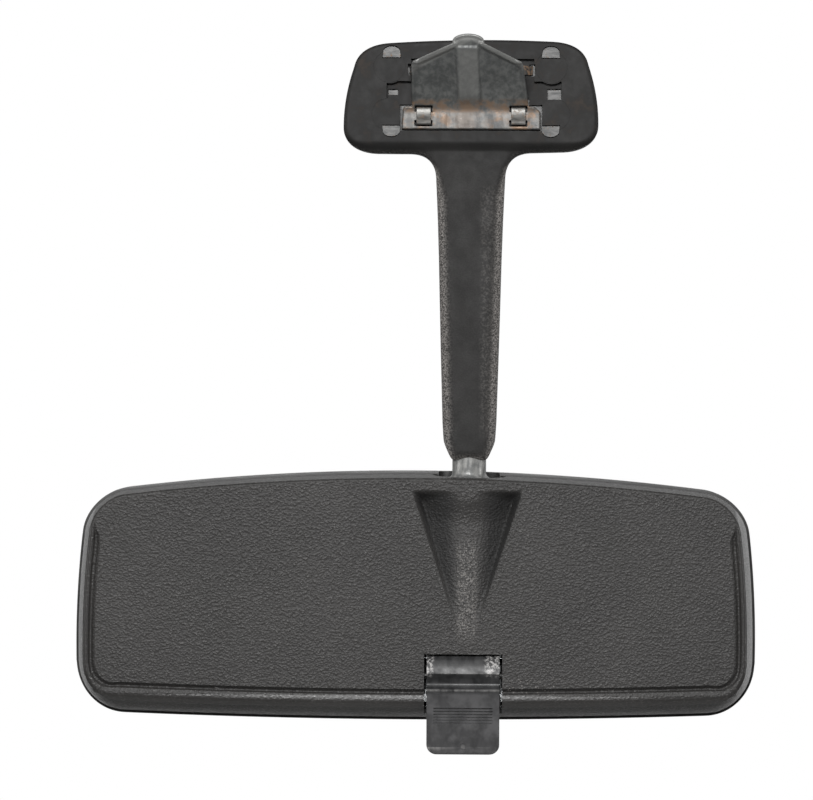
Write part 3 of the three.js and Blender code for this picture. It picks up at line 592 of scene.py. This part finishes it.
def zinc(name, dark, light, stain_tint=None):
    """Dull die-cast zinc between two tones; with stain_tint it also gets painted highlights on a rib and on
    slanted rims, a foot in its own tones, and brown patches on and just above the foot.
    """
    shader = Shader(name, light, 0.5, 0.35)
    cloud = shader.noise(3.2, 5.0, 0.62)
    streak = shader.noise(1.4, 4.0, 0.6, (1, 1, 0.2))
    tone = shader.remap(shader.times(cloud, streak), 0.14, 0.38)
    colour = shader.mix(tone, dark, light)
    if stain_tint:
        # Painted highlights: the rib and the slanted rims are coloured lighter.
        rib = shader.patch((-3.4, 1.8, 1.0), (-1.5, 12.5, 1.5))
        across = shader.times(shader.math("ABSOLUTE", shader.axis("x")), 0.51)
        slant = shader.remap(shader.math("ADD", shader.axis("z"), across), 15.4 * MM, 16.2 * MM)
        painted_rib_highlight = shader.times(rib, 0.45)
        painted_slant_highlight = shader.times(slant, 0.6)
        colour = shader.mix(shader.math("MAXIMUM", painted_rib_highlight, painted_slant_highlight), colour, (0.26, 0.26, 0.25))
        foot = shader.remap(shader.axis("z"), -4.6 * MM, -2.6 * MM, 1.0, 0.0)
        clean = shader.mix(shader.remap(cloud, 0.35, 0.65), (0.085, 0.088, 0.089), (0.17, 0.165, 0.156))
        colour = shader.mix(foot, colour, clean)
        patches = shader.remap(shader.noise(4.4, 4.0, 0.6), 0.45, 0.62)
        outboard = shader.remap(shader.math("ABSOLUTE", shader.axis("x")), 3 * MM, 10 * MM, 0.25, 0.9)
        on_foot = shader.times(shader.times(foot, patches), outboard)
        root = shader.times(shader.band("z", -4.3, -1.9, 1.4),
                           shader.remap(cloud, 0.4, 0.62, 0.0, 0.8))
        colour = shader.mix(shader.math("MAXIMUM", on_foot, root), colour, stain_tint)
    shader.drive("Base Color", colour)
    shader.drive("Roughness", shader.remap(streak, 0.3, 0.7, 0.56, 0.36))
    shader.bump(cloud, 0.08, 0.6)
    shader.bump(shader.noise(0.5, 3.0), 0.03, 0.6)
    return shader.material


def steel(name, rust, dark=(0.045, 0.046, 0.046), light=(0.11, 0.109, 0.107)):
    """Dull pressed steel, mostly bare where rust is 0 and mostly brown where it is 1."""
    shader = Shader(name, light, 0.45, 0.5)
    brushed = shader.noise(0.9, 4.0, 0.6, (0.3, 1, 1))
    spots = shader.noise(1.4, 5.0, 0.68)
    stain = shader.remap(spots, 0.64 - 0.32 * rust, 0.76 - 0.2 * rust)
    clean = shader.mix(shader.remap(brushed, 0.3, 0.7), dark, light)
    shader.drive("Base Color", shader.mix(stain, clean, (0.2, 0.13, 0.082)))
    shader.drive("Metallic", shader.remap(stain, 0.0, 1.0, 0.5, 0.1))
    shader.drive("Roughness", shader.remap(stain, 0.0, 1.0, 0.42, 0.75))
    shader.bump(brushed, 0.03, 0.6)
    shader.bump(stain, 0.03, 0.5)
    return shader.material


def mirror():
    """Silvered glass with a trace of haze."""
    shader = Shader("mirror_glass", (0.86, 0.89, 0.9), 0.02, 1.0, Coat_Weight=0.6, Coat_Roughness=0.02)
    haze = shader.noise(18, 4.0, 0.6)
    shader.drive("Roughness", shader.remap(haze, 0.45, 0.8, 0.015, 0.045))
    shader.drive("Base Color", shader.mix(haze, (0.84, 0.87, 0.88), (0.89, 0.91, 0.92)))
    return shader.material


def nylon():
    """Natural nylon for the ball seats."""
    shader = Shader("nylon", (0.62, 0.58, 0.48), 0.45, Subsurface_Weight=0.05)
    cloud = shader.noise(4, 3.0)
    shader.drive("Base Color", shader.mix(cloud, (0.52, 0.47, 0.36), (0.68, 0.64, 0.54)))
    shader.bump(shader.noise(0.4, 2.0), 0.01, 0.5)
    return shader.material


def foam():
    """Dark open-pored foam."""
    shader = Shader("foam_pad", (0.06, 0.06, 0.065), 0.95)
    pores = shader.cells(0.45)
    shader.drive("Base Color", shader.mix(pores, (0.03, 0.03, 0.032), (0.1, 0.1, 0.105)))
    shader.bump(pores, 0.12, 1.0)
    return shader.material


# ---------------------------------------------------------------- pieces

def show(name, mesh, body, material, nodes, from_ball=False, smooth_angle=38):
    """Makes a piece from a mesh: smooth shading with sharp edges kept, a body to ride on and a finish."""
    if from_ball:
        mesh.transform(Matrix.Translation(Vector(BALL * MM)))
    mesh.name = name
    mesh.materials.clear()
    mesh.materials.append(material)
    mesh.shade_smooth()
    mesh.set_sharp_from_angle(angle=math.radians(smooth_angle))
    obj = bpy.data.objects.new(name, mesh)
    bpy.context.scene.collection.objects.link(obj)
    normals = obj.modifiers.new("normals", "WEIGHTED_NORMAL")
    normals.keep_sharp = True
    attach(obj, body)
    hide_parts(*nodes)
    return obj


# ---- rear shell

def scoop_depth(x, z, grow):
    """How deep the twin scoops lie below the back of the shell, 0 outside them; grow widens them."""
    sideways = np.abs(x - SCOOP_X)
    half_width = SCOOP_HALF_WIDTH - SCOOP_TAPER * (SCOOP_TOP - z) + grow
    share = sideways / np.maximum(half_width, 0.5)
    ridge = 1 - np.clip(share, 0, 1) ** 1.7
    reach = np.clip(z - SCOOP_BOTTOM + 1.5 * grow, 0, None)
    rise = 1 - 0.42 * smoothstep(SCOOP_TOP + grow, -8.0, z)
    floor = SCOOP_DEPTH * reach / (SCOOP_TOP - SCOOP_BOTTOM) * (1 - rise * ridge)
    wall = 2.6 * (half_width + 0.2 - sideways)
    top = 1.4 * (SCOOP_TOP + 0.3 + grow - z)
    depth = smooth_min(smooth_min(wall, top, 2.6), floor, 1.6)
    return above_zero(depth - 0.4, 0.4)


def scoop_block(back, grow, x_reach, z_range, step):
    """A block outside the back plane whose front face is the scoops' surface."""
    xs = np.linspace(SCOOP_X - x_reach, SCOOP_X + x_reach, int(2 * x_reach / step) + 1)
    zs = np.linspace(*z_range, int((z_range[1] - z_range[0]) / step) + 1)
    grid_x, grid_z = np.meshgrid(xs, zs, indexing="ij")
    depth = scoop_depth(grid_x, grid_z, grow)
    columns, rows = grid_x.shape
    front = np.stack([grid_x, back + depth, grid_z], axis=2).reshape(-1, 3)
    rear = front.copy()
    rear[:, 1] = back - 3
    number = np.arange(columns * rows).reshape(columns, rows)
    faces = np.stack([number[:-1, :-1], number[1:, :-1], number[1:, 1:], number[:-1, 1:]], axis=-1)
    faces = faces.reshape(-1, 4)
    border = np.concatenate([number[:, 0], number[-1, 1:], number[-2::-1, -1], number[0, -2:0:-1]])
    total = columns * rows
    sides = [(a, b, b + total, a + total) for a, b in zip(border, np.roll(border, -1))]
    lid = [tuple(border + total)]
    return mesh_from(np.vstack([front, rear]), faces.tolist() + sides + lid)


def shell_rings(outline):
    """Rings of the shell's outer surface from its rim to its back, with the groove round the face."""
    normals = outward_normals(outline)
    up = normals[:, 1]
    top = np.clip(up, 0, None) ** 2
    low = np.clip(-up, 0, None) ** 2
    groove_on = smoothstep(-4, -13, outline[:, 1])
    crest = 4.4 - 2.0 * top + 1.1 * low
    bead = 0.5 + (0.5 + 2.6 * low) * groove_on
    groove = 0.4 + (1.9 - 0.5 * low) * groove_on
    depth = (1.0 + 0.2 * low) * groove_on
    rings = []

    def ring(inset, y):
        plan = outline - normals * np.broadcast_to(inset, up.shape)[:, None]
        depths = np.broadcast_to(y, up.shape)
        rings.append(np.stack([plan[:, 0], depths, plan[:, 1]], axis=1))

    ring(2.5, SPIGOT_END)
    ring(2.5, SHELL_RIM + 0.3)
    ring(2.3, SHELL_RIM)
    ring(1.2, SHELL_RIM)
    ring(0.9, SHELL_RIM - 0.3)
    turn = 1.1 + 1.3 * low
    wall_end = SHELL_BACK + turn
    for t in np.linspace(0.08, 1, 10):
        ring(0.9 + (crest - 1.5) * t ** 1.5, SHELL_RIM - 0.3 - (SHELL_RIM - 0.3 - wall_end) * t)
    peak = crest + 0.5 * bead
    for angle in np.radians(np.linspace(12, 90, 9)):
        ring(crest - 0.6 + (peak - crest + 0.6) * (1 - np.cos(angle)), wall_end - turn * np.sin(angle))
    for t in np.linspace(0.2, 1, 5):
        ring(peak + 0.5 * bead * t, SHELL_BACK + 0.3 * depth * t ** 2)
    for t in np.linspace(0.12, 1, 8):
        fall = np.sin(np.pi * t ** 0.8) * 0.85 + 0.3 * (1 - t)
        ring(crest + bead + groove * t, SHELL_BACK + depth * fall)
    ring(crest + bead + groove + 0.35, SHELL_BACK)
    return rings


def hollow_rings(outline):
    """Rings of the shell's inner surface, from its open front to its back wall."""
    normals = outward_normals(outline)
    rings = []
    for inset, y in ((4.1, SPIGOT_END + 1), (4.1, -8), (6.2, -12.6), (7.4, SHELL_BACK + SHELL_WALL)):
        plan = outline - normals * (inset - 0.3 * np.clip(normals[:, 1:], 0, 1))
        rings.append(in_space(plan, y, "y"))
    return rings


def make_shell(outline):
    """The rear moulding with hinge bosses, lever cheeks, pad ribs and a rest for the detent spring."""
    outer = loft(shell_rings(outline))
    hollow = cut(loft(hollow_rings(outline)), scoop_block(SHELL_BACK + SHELL_WALL, 1.6, 20, (-47, 6.5), 1.0))
    notch_x = (LEVER_X - NOTCH_HALF_WIDTH, LEVER_X + NOTCH_HALF_WIDTH)
    sides = (-1, 1)
    bosses = [box(sorted((17.6 * side, 22.5 * side)), (-15, 3.5), (-3.5, 3.5)) for side in sides]
    cheeks = [box(sorted((LEVER_X + 12.3 * side, LEVER_X + 15 * side)), (-15, -4.6), (-58, -50))
              for side in sides]
    ribs = [box((HEAD_X + PAD_X * side - 0.8, HEAD_X + PAD_X * side + 0.8), (-15, 11.2), (-60, 0))
            for side in sides]
    spring_rest = box((4, 10), (-2.3, -0.6), (-66, -60.5))
    shell = joined(cut(outer, hollow), *bosses, *cheeks, *ribs, spring_rest)
    return cut(
        shell,
        scoop_block(SHELL_BACK, 0.0, 19, (-45.5, 4.5), 0.45),
        cylinder(NECK_NOTCH_RADIUS, 1, 20, "z", 128),
        box(notch_x, (-20, -6), (-80, NOTCH_TOP)),
        cylinder(HINGE_HOLE_RADIUS, -24, -17, "x", 32),
        cylinder(HINGE_HOLE_RADIUS, 17, 24, "x", 32),
        cylinder(AXLE_HOLE_RADIUS, LEVER_X - 16, LEVER_X + 16, "x", 32, LEVER_AXIS[1:]),
    )


# ---- bezel and glass

def make_bezel(outline):
    """A closed section, given as (inset from the outline, depth), swept round the head."""
    normals = outward_normals(outline)
    section = [(0.35, BEZEL_BACK), (0.1, BEZEL_BACK + 0.12), (0, BEZEL_BACK + 0.5), (0, 12), (0, 17.4)]
    for angle in np.radians(np.linspace(12, 90, 7)):
        section.append((2.2 * (1 - np.cos(angle)), 17.8 + 2.2 * np.sin(angle)))
    section += [(3.2, BEZEL_FRONT), (3.8, BEZEL_FRONT - 0.1), (4.3, BEZEL_FRONT - 0.45),
                (4.7, BEZEL_FRONT - 1.0), (4.95, 18.6), (4.9, 18.45), (4.6, 18.4), (2.2, 18.4),
                (2.2, BEZEL_BACK)]
    rings = [in_space(outline - normals * inset, y, "y") for inset, y in section]
    return cut(loft(rings, ring_loop=True), cylinder(NECK_NOTCH_RADIUS, 1, 20, "z", 128))


def glass_back(z):
    """The back of the glass, which is a wedge that is thicker at the top."""
    return 13.2 + 2.7 * (HEAD_TOP - z) / (HEAD_TOP - HEAD_BOTTOM)


def make_glass(outline):
    """A wedge of glass with a bevel round its front."""
    normals = outward_normals(outline)
    rings = []
    for inset, lift, front in ((3.0, 0.0, None), (2.7, 0.3, None), (2.7, 0, GLASS_FRONT - 0.35),
                               (3.05, 0, GLASS_FRONT)):
        plan = outline - normals * inset
        depth = glass_back(plan[:, 1]) + lift if front is None else np.full(len(plan), front)
        rings.append(np.stack([plan[:, 0], depth, plan[:, 1]], axis=1))
    return loft(rings)


def make_pad(side):
    """A foam block with sides that draw in a little, cut to the slope of the glass."""
    centre = HEAD_X + PAD_X * side
    rings = []
    for t in np.linspace(0, 1, 7):
        pinch = 0.35 * math.sin(math.pi * t)
        angle = 2 * np.pi * np.arange(64) / 64
        x = centre + (5.9 - pinch) * np.sign(np.cos(angle)) * np.abs(np.cos(angle)) ** 0.2
        z = -30 + (24.9 - pinch) * np.sign(np.sin(angle)) * np.abs(np.sin(angle)) ** 0.2
        y = PAD_BACK + (glass_back(z) - PAD_GAP - PAD_BACK) * t
        rings.append(np.stack([x, y, z], axis=1))
    return loft(rings)


# ---- lever

def make_lever():
    """The lever: a side profile across its width, rounded at the tip, with grip grooves and an axle hole."""
    axle_y, axle_z = LEVER_AXIS[1:]
    angle = np.radians(np.linspace(7, 100, 48))
    hub = np.stack([axle_y - HUB_RADIUS * np.cos(angle), axle_z + HUB_RADIUS * np.sin(angle)], axis=1)
    back = [(-7, -47.73), (-3.4, -52.87), (-3.4, -57.2), (-7, -59.6), (-10, -60), (-12.1, -61.2),
            (-12.6, -62.2), (-12.8, -69), (-12.25, -76.6), (-12.5, -77.3), (-13, -77.6)]
    tip = [(-14.2, -77.6), (-14.7, -77.4), (-15, -76.9)]
    face = bezier([(-15, -76.9), (-15.5, -71), (-16, -65), (-16.25, -60.5)], 12)[1:]
    lip = [(-16.4, -59.3), (-16.75, -58.5), (-17, -58.15), (-16.98, -57.85), (-16.7, -57.6)]
    valley = bezier([(-16.7, -57.6), (-14.2, -57.2), (-14.3, -55.6), (-15.4, -54.2)], 16)[1:]
    crest = bezier([(-15.4, -54.2), (-15.9, -53.6), (-16.3, -53.2), (-16.55, -52.95)], 5)
    side = np.vstack([hub, back, tip, face, lip, valley, crest])
    blank = prism(side, LEVER_X - LEVER_HALF_WIDTH, LEVER_X + LEVER_HALF_WIDTH, "x")
    corner = 3.2
    arc = np.radians(np.linspace(0, 90, 9))
    corner_x = LEVER_HALF_WIDTH - corner + corner * np.cos(arc)
    corner_z = -74.6 - (corner - 0.2) * np.sin(arc)
    right = np.stack([corner_x, corner_z], axis=1)
    front = np.vstack([[(LEVER_HALF_WIDTH, -40)], right, right[::-1] * [-1, 1], [(-LEVER_HALF_WIDTH, -40)]])
    lever = common(blank, prism(front + [LEVER_X, 0], -30, 10, "y"))
    lever = bevelled(lever, 0.3, 3, 50)
    grooves = []
    for z in np.linspace(-68, -63.5, 6):
        groove = [(-18, z - 0.5), (-15.45, z - 0.12), (-15.45, z + 0.12), (-18, z + 0.5)]
        grooves.append(prism(groove, LEVER_X - 9, LEVER_X + 9, "x"))
    mark_centre = (LEVER_X + 0.1, -75.3)
    mark = cut(cylinder(1.15, -16, -14.95, "y", 40, mark_centre),
               cylinder(0.7, -17, -14, "y", 40, mark_centre))
    slot_x = (LEVER_X - LEVER_SLOT_HALF_WIDTH, LEVER_X + LEVER_SLOT_HALF_WIDTH)
    return cut(
        lever, *grooves, mark,
        box(slot_x, (-13.2, 3), (-51.4, -40)),
        box(slot_x, (-18, 3), (-47.2, -40)),
        cylinder(AXLE_HOLE_RADIUS, LEVER_X - 20, LEVER_X + 20, "x", 32, LEVER_AXIS[1:]),
        cylinder(AXLE_HOLE_RADIUS, LEVER_X - 5.8, LEVER_X + 5.8, "x", 32, ECCENTRIC_HOLE),
    )


# ---- ball stud

def make_stud():
    """A ball that flows into a neck, with a thinner shank that ends in the arm's core."""
    join = math.degrees(math.asin(NECK_RADIUS / BALL_RADIUS)) + 5
    angles = np.radians(np.linspace(180, join, 48))
    profile = [(BALL_RADIUS * math.sin(a), BALL_RADIUS * math.cos(a)) for a in angles]
    low_r, low_z = profile[-1]
    neck_start = (NECK_RADIUS, low_z + 1.7)
    flow = bezier([(low_r, low_z), (low_r - 0.45, low_z + 0.35), (NECK_RADIUS, low_z + 0.8), neck_start], 8)
    profile += [tuple(point) for point in flow[1:]]
    profile += [neck_start, (NECK_RADIUS, NECK_END), (SHANK_RADIUS, NECK_END),
                (SHANK_RADIUS, SHANK_END - 0.8), (SHANK_RADIUS - 0.8, SHANK_END), (0.01, SHANK_END)]
    return turned(profile, 96)


# ---- arm and base skin

def arm_outline():
    """The arm's outline in the XZ plane from (height, half width) stations."""
    stations = [(-10, 10.9), (-25.3, 10.6), (-37.7, 10.05), (-50, 9.65), (-62.3, 9.35), (-77.8, 8.95),
                (-93.2, 8.5), (-100, 8.3), (-104, 8.05), (-105.9, 7.85), (-106.8, 7.55), (-107.7, 7.2),
                (-108.6, 6.8), (-109.6, 6.35), (-110.5, 5.9), (-111.1, 5.5), (-111.45, 5.0)]
    right = np.array([(half, z) for z, half in stations])
    return np.vstack([right[::-1], right * [-1, 1]])


def half_moon(centre_x, flat_z, round_z):
    """An outline with a straight side at flat_z and a round one that reaches round_z."""
    t = np.linspace(-1, 1, 33)
    rise = np.clip(1 - t ** 2, 0, None) ** 0.25
    return np.stack([centre_x + t * MOON_HALF_WIDTH, flat_z + (round_z - flat_z) * rise], axis=1)


def make_skin():
    """The foam skin: arm and base as one rounded body, cut by the recesses, windows and half-moons."""
    step = 0.42
    xs = np.arange(-40.3, 40.5, step)
    ys = np.arange(-0.95, 14.5, step)
    zs = np.arange(-112.6, 18.6, step)
    grid_x, grid_z = np.meshgrid(xs, zs, indexing="ij")
    plan = smooth_min(outline_distance(grid_x, grid_z, base_outline()),
                      outline_distance(grid_x, grid_z, arm_outline()), 8.0)
    y = ys[None, :, None]
    z = grid_z[:, None, :]
    plan = plan[:, None, :]
    rear = 1.2 * smoothstep(-14, -17, z)
    front = BASE_FRONT + 0.3 * smoothstep(-14, -24, z)
    rear_radius = np.interp(z, [-112, -107, -102, -31, -25, -20, -17, -11, 18],
                            [1.8, 3.4, 4.4, 4.2, 2.4, 1.0, 2.4, 1.3, 1.0])
    front_radius = np.interp(z, [-112, -24, -10, 18], [4.6, 4.8, 5.2, 5.2])
    field = np.maximum(rounded_meeting(plan, rear - y, rear_radius),
                       rounded_meeting(plan, y - front, front_radius))
    skin = surface_net(field, np.array([xs[0], ys[0], zs[0]]), step)
    discs = [cylinder(DISC_RADIUS, -3, 5, "y", 64, centre) for centre in DISC_CENTRES]
    shallow = joined(*[box(x_range, (-2, WINDOW_FLOOR), z_range) for x_range, z_range in RECESSES])
    deep = joined(*[box(x_range, (-2, PLATE_BACK + 0.4), z_range) for x_range, z_range in WINDOWS])
    window = joined(cut(shallow, *discs), deep)
    moons = [prism(half_moon(*moon), -1, MOON_DEPTH, "y") for moon in MOONS]
    grooves = [cut(cylinder(DISC_RADIUS, -1, 0.12, "y", 96, centre),
                   cylinder(DISC_RADIUS - 0.3, -2, 1, "y", 96, centre)) for centre in DISC_CENTRES]
    return cut(skin, window, *moons, *grooves)


# ---- tongue, clips, leaf spring

def make_tongue():
    """A cast plate that bends from its foot up a ramp to a nose, with a rib, rims and worn corners."""
    step = 0.26
    xs = np.arange(-22.4, 22.6, step)
    ys = np.arange(-17.6, 4.0, step)
    zs = np.arange(-11.4, 18.8, step)
    foot = [(1.95, -14.0), (1.95, -5.4)]
    root = bezier([(1.95, -5.4), (1.95, -3.2), (1.2, -2.2), (0.0, -0.9)], 12)[1:]
    ramp_end = bezier([(-13.7, 13.9), (-14.5, 14.8), (-15, 15.4), (-15, 17)], 8)
    middle = np.vstack([foot, root, [(0.0, -0.9)], ramp_end, [(-15, 17), (-15, 22)]])
    y, z = np.meshgrid(ys, zs, indexing="ij")
    best = np.full(y.shape, np.inf)
    side = np.zeros(y.shape)
    for (y0, z0), (y1, z1) in zip(middle[:-1], middle[1:]):
        dy, dz = y1 - y0, z1 - z0
        t = np.clip(((y - y0) * dy + (z - z0) * dz) / (dy * dy + dz * dz), 0, 1)
        gap = np.hypot(y - y0 - t * dy, z - z0 - t * dz)
        turn = np.sign(dz * (y - y0) - dy * (z - z0))
        nearer = gap < best
        best = np.where(nearer, gap, best)
        side = np.where(nearer, -turn, side)
    outer = (best * side)[None, :, :]
    nose_angles = np.radians(np.linspace(0, 180, 17))
    nose = [(-0.9 + 4.8 * math.cos(a), 15.6 + 2.2 * math.sin(a)) for a in nose_angles]
    face = np.array([(-21.3, -10.2), (21.3, -10.2), (21.3, -4.8), (19.7, -3.3), (17.6, -3.0), (15.9, 8.6),
                     (15.3, 9.6), (3.9, 14.9), *nose, (-5.7, 14.9), (-17.7, 9.8), (-18.2, 8.9),
                     (-18.1, -3.2), (-20.3, -3.2), (-20.9, -3.9)])
    grid_x, grid_z = np.meshgrid(xs, zs, indexing="ij")
    plan = outline_distance(grid_x, grid_z, face)
    rib_left = -5.2 + 0.9 * smoothstep(12.0, -2.0, grid_z)
    rib_right = 2.6 + 0.9 * smoothstep(12.0, -2.0, grid_z)
    rib = smoothstep(rib_left, rib_left + 0.9, grid_x) * (1 - smoothstep(rib_right - 0.9, rib_right, grid_x))
    rib = rib * smoothstep(-4.0, 0.5, grid_z) * (1 - smoothstep(13.0, 14.6, grid_z))
    slant = smoothstep(8.4, 9.4, grid_z) * (1 - smoothstep(14.8, 15.6, grid_z))
    slant = (1 - smoothstep(1.2, 1.9, -plan)) * slant
    side_rim = 0.4 * (1 - smoothstep(0.5, 1.2, -plan)) * smoothstep(-2.0, 0.5, grid_z)
    knobs = sum(np.exp(-((grid_x - knob_x) ** 2 + (grid_z - knob_z) ** 2) / 1.3)
                for knob_x, knob_z in ((-16.6, 8.6), (14.4, 8.8)))
    dish = np.exp(-((np.abs(grid_x + 0.9) - 8.0) / 4.6) ** 2) * np.exp(-((grid_z - 2.5) / 5.0) ** 2)
    bumps = (0.75 * rib + 0.65 * np.maximum(slant, side_rim) + 0.8 * knobs - 0.75 * dish)[:, None, :]
    thickness = 0.85
    sheet = np.maximum(-outer - thickness, outer - thickness - bumps)
    field = rounded_meeting(sheet, np.broadcast_to(plan[:, None, :], sheet.shape), 0.45)
    keep_ramp = np.where(ys[None, :, None] < -1.4, 1e3, 0)
    for slot_x in (-CLIP_X, CLIP_X):
        for low, high in ((-4.9, -2.9), (-9.2, -7.4)):
            slot = np.maximum(np.abs(grid_x - slot_x) - 2.75,
                              np.abs(grid_z - (low + high) / 2) - (high - low) / 2)
            field = np.maximum(field, -(slot[:, None, :] + keep_ramp))
    return surface_net(field, np.array([xs[0], ys[0], zs[0]]), step)


def make_clip(side):
    """A bent strap over the tongue's foot, with two legs down to the plate."""
    outer = [(4.3, -3.45), (0.35, -3.45), (-0.15, -3.7), (-0.38, -4.4), (-0.4, -5.4), (-0.32, -6.5),
             (0.0, -7.15), (0.2, -7.5), (0.25, -8.4), (0.5, -8.75), (4.3, -8.75)]
    inner = [(4.3, -7.85), (0.95, -7.85), (0.75, -7.0), (0.68, -6.2), (0.68, -4.9), (0.8, -4.4), (4.3, -4.35)]
    centre = CLIP_X * side
    strap = prism(outer + inner, centre - CLIP_HALF_WIDTH, centre + CLIP_HALF_WIDTH, "x")
    return bevelled(strap, 0.22, 3, 30)


def make_leaf():
    """A bowed strip of spring steel behind the tongue."""
    half_length = 18.9
    x = np.linspace(-half_length, half_length, 61)
    y = 2.4 - 6.4 * (1 - (x / half_length) ** 2)
    rear = np.stack([x, y - 0.25], axis=1)
    front = np.stack([x, y + 0.25], axis=1)[::-1]
    return bevelled(prism(np.vstack([rear, front]), 6.6, 9.4, "z"), 0.12, 2, 50)


# ---------------------------------------------------------------- assembly

SHELL = shell_plastic()
BEZEL = bezel_plastic()
ZINC = zinc("zinc_casting", (0.14, 0.143, 0.142), (0.36, 0.358, 0.345))
TONGUE_ZINC = zinc("tongue_zinc", (0.085, 0.089, 0.088), (0.15, 0.154, 0.15), (0.2, 0.128, 0.08))
STRAP = steel("strap_steel", 0.35, (0.13, 0.128, 0.122), (0.25, 0.243, 0.228))
STEEL = steel("pressed_steel", 0.15)
RUSTY = steel("rusty_steel", 0.75)

head_plan = head_outline()
show("shell_moulding", make_shell(head_plan), "head", SHELL, ["rear_shell"], True)
show("bezel_moulding", make_bezel(head_plan), "head", BEZEL, ["bezel_frame"], True)
show("glass_wedge", make_glass(head_plan), "head", mirror(), ["mirror_glass"], True, 20)
show("lever_moulding", make_lever(), "lever", lever_plastic(), ["dip_lever"], True)
show("stud_turning", make_stud(), "arm", ZINC, ["ball_stud"], True)
show("skin_foam", make_skin(), "arm", skin_foam(), ["arm_skin"])
show("tongue_casting", make_tongue(), "tongue", TONGUE_ZINC, ["mount_tongue"])
show("leaf_strip", make_leaf(), "arm", RUSTY, ["tongue_leaf_spring"])
FOAM = foam()
for side, sign in (("left", -1), ("right", 1)):
    show(f"clip_strap_{side}", make_clip(sign), "arm", STRAP, [f"tongue_clip_{side}"])
    pad = show(f"pad_foam_{side}", make_pad(sign), "head", FOAM, [f"glass_pad_{side}"], True, 60)

NYLON = nylon()
CARRIED = {
    "base_insert_plate": STEEL, "arm_core": ZINC, "upper_ball_seat": NYLON, "lower_ball_seat": NYLON,
    "socket_carrier": STEEL, "clamp_plate": STEEL, "lever_axle": STEEL, "eccentric_pin": STEEL,
    "detent_spring": STEEL,
}
for side in ("left", "right"):
    for stem in ("core_rivet", "clamp_screw", "clamp_spring", "dip_hinge_pin"):
        CARRIED[f"{stem}_{side}"] = STEEL
for node, material in CARRIED.items():
    node_object = frame["nodes"][node]
    for slot in node_object.material_slots:
        slot.material = material

# ---------------------------------------------------------------- studio and camera

VIEW_CENTRE = Vector((-0.0193, 0.0, -0.0932))
CAMERA_DISTANCE = 1.337
CAMERA_YAW = math.radians(0.9)
CAMERA_ROLL = math.radians(0.3)
LENS_MM = 193.3
SENSOR_MM = 36.0
WORLD_LIGHT = 0.06
FLOOR_DROP = 0.6
FLOOR_RADIUS = 0.7
LIGHTS = {
    "key_softbox": ((-0.14, -1.42, 0.42), (0.7, 0.35), 21.5),
    "top_softbox": ((0.0, -0.5, 1.1), (1.2, 0.4), 3),
    "left_softbox": ((-1.25, -0.3, 0.05), (0.3, 0.8), 4),
    "right_softbox": ((1.25, -0.3, 0.05), (0.3, 0.8), 5),
    "back_softbox": ((0.15, 1.6, 0.12), (3.0, 1.8), 16),
}


def look_at(obj, target):
    direction = target - obj.location
    obj.rotation_euler = direction.to_track_quat("-Z", "Y").to_euler()


def add_light(name, place, size, power):
    """A rectangular soft light in watts, its sides in metres, turned towards the middle of the part."""
    data = bpy.data.lights.new(name, "AREA")
    data.shape = "RECTANGLE"
    data.size, data.size_y = size
    data.energy = power
    light = bpy.data.objects.new(name, data)
    bpy.context.scene.collection.objects.link(light)
    light.location = place
    look_at(light, VIEW_CENTRE)


camera_data = bpy.data.cameras.new("camera")
camera_data.lens = LENS_MM
camera_data.sensor_width = SENSOR_MM
camera_data.clip_end = 50
camera = bpy.data.objects.new("camera", camera_data)
bpy.context.scene.collection.objects.link(camera)
camera.location = VIEW_CENTRE + CAMERA_DISTANCE * Vector((math.sin(CAMERA_YAW), -math.cos(CAMERA_YAW), 0))
look_at(camera, VIEW_CENTRE)
camera.rotation_euler.rotate_axis("Z", CAMERA_ROLL)
bpy.context.scene.camera = camera

for name, (place, size, power) in LIGHTS.items():
    add_light(name, place, size, power)

# White behind the part, and only a little light from all round
world = bpy.data.worlds.new("studio")
bpy.context.scene.world = world
world.use_nodes = True
sky = world.node_tree
background = sky.nodes["Background"]
background.inputs["Color"].default_value = (1, 1, 1, 1)
seen = sky.nodes.new("ShaderNodeLightPath")
strength = sky.nodes.new("ShaderNodeMapRange")
strength.inputs["To Min"].default_value = WORLD_LIGHT
strength.inputs["To Max"].default_value = 1.0
sky.links.new(seen.outputs["Is Camera Ray"], strength.inputs["Value"])
sky.links.new(strength.outputs["Result"], background.inputs["Strength"])

bpy.context.scene.view_settings.view_transform = "Standard"

floor_z = cad_bounds[0][2] - FLOOR_DROP
floor_mesh = bpy.data.meshes.new("floor")
floor_edge = [(VIEW_CENTRE.x + x, y, floor_z) for x, y in circle(FLOOR_RADIUS, 128)]
floor_mesh.from_pydata(floor_edge, [], [tuple(range(128))])
floor = bpy.data.objects.new("floor", floor_mesh)
bpy.context.scene.collection.objects.link(floor)
floor_shader = Shader("pale_floor", (0.62, 0.62, 0.61), 0.75)
floor_shader.drive("Roughness", floor_shader.remap(floor_shader.noise(40), 0.3, 0.7, 0.6, 0.8))
floor_mesh.materials.append(floor_shader.material)
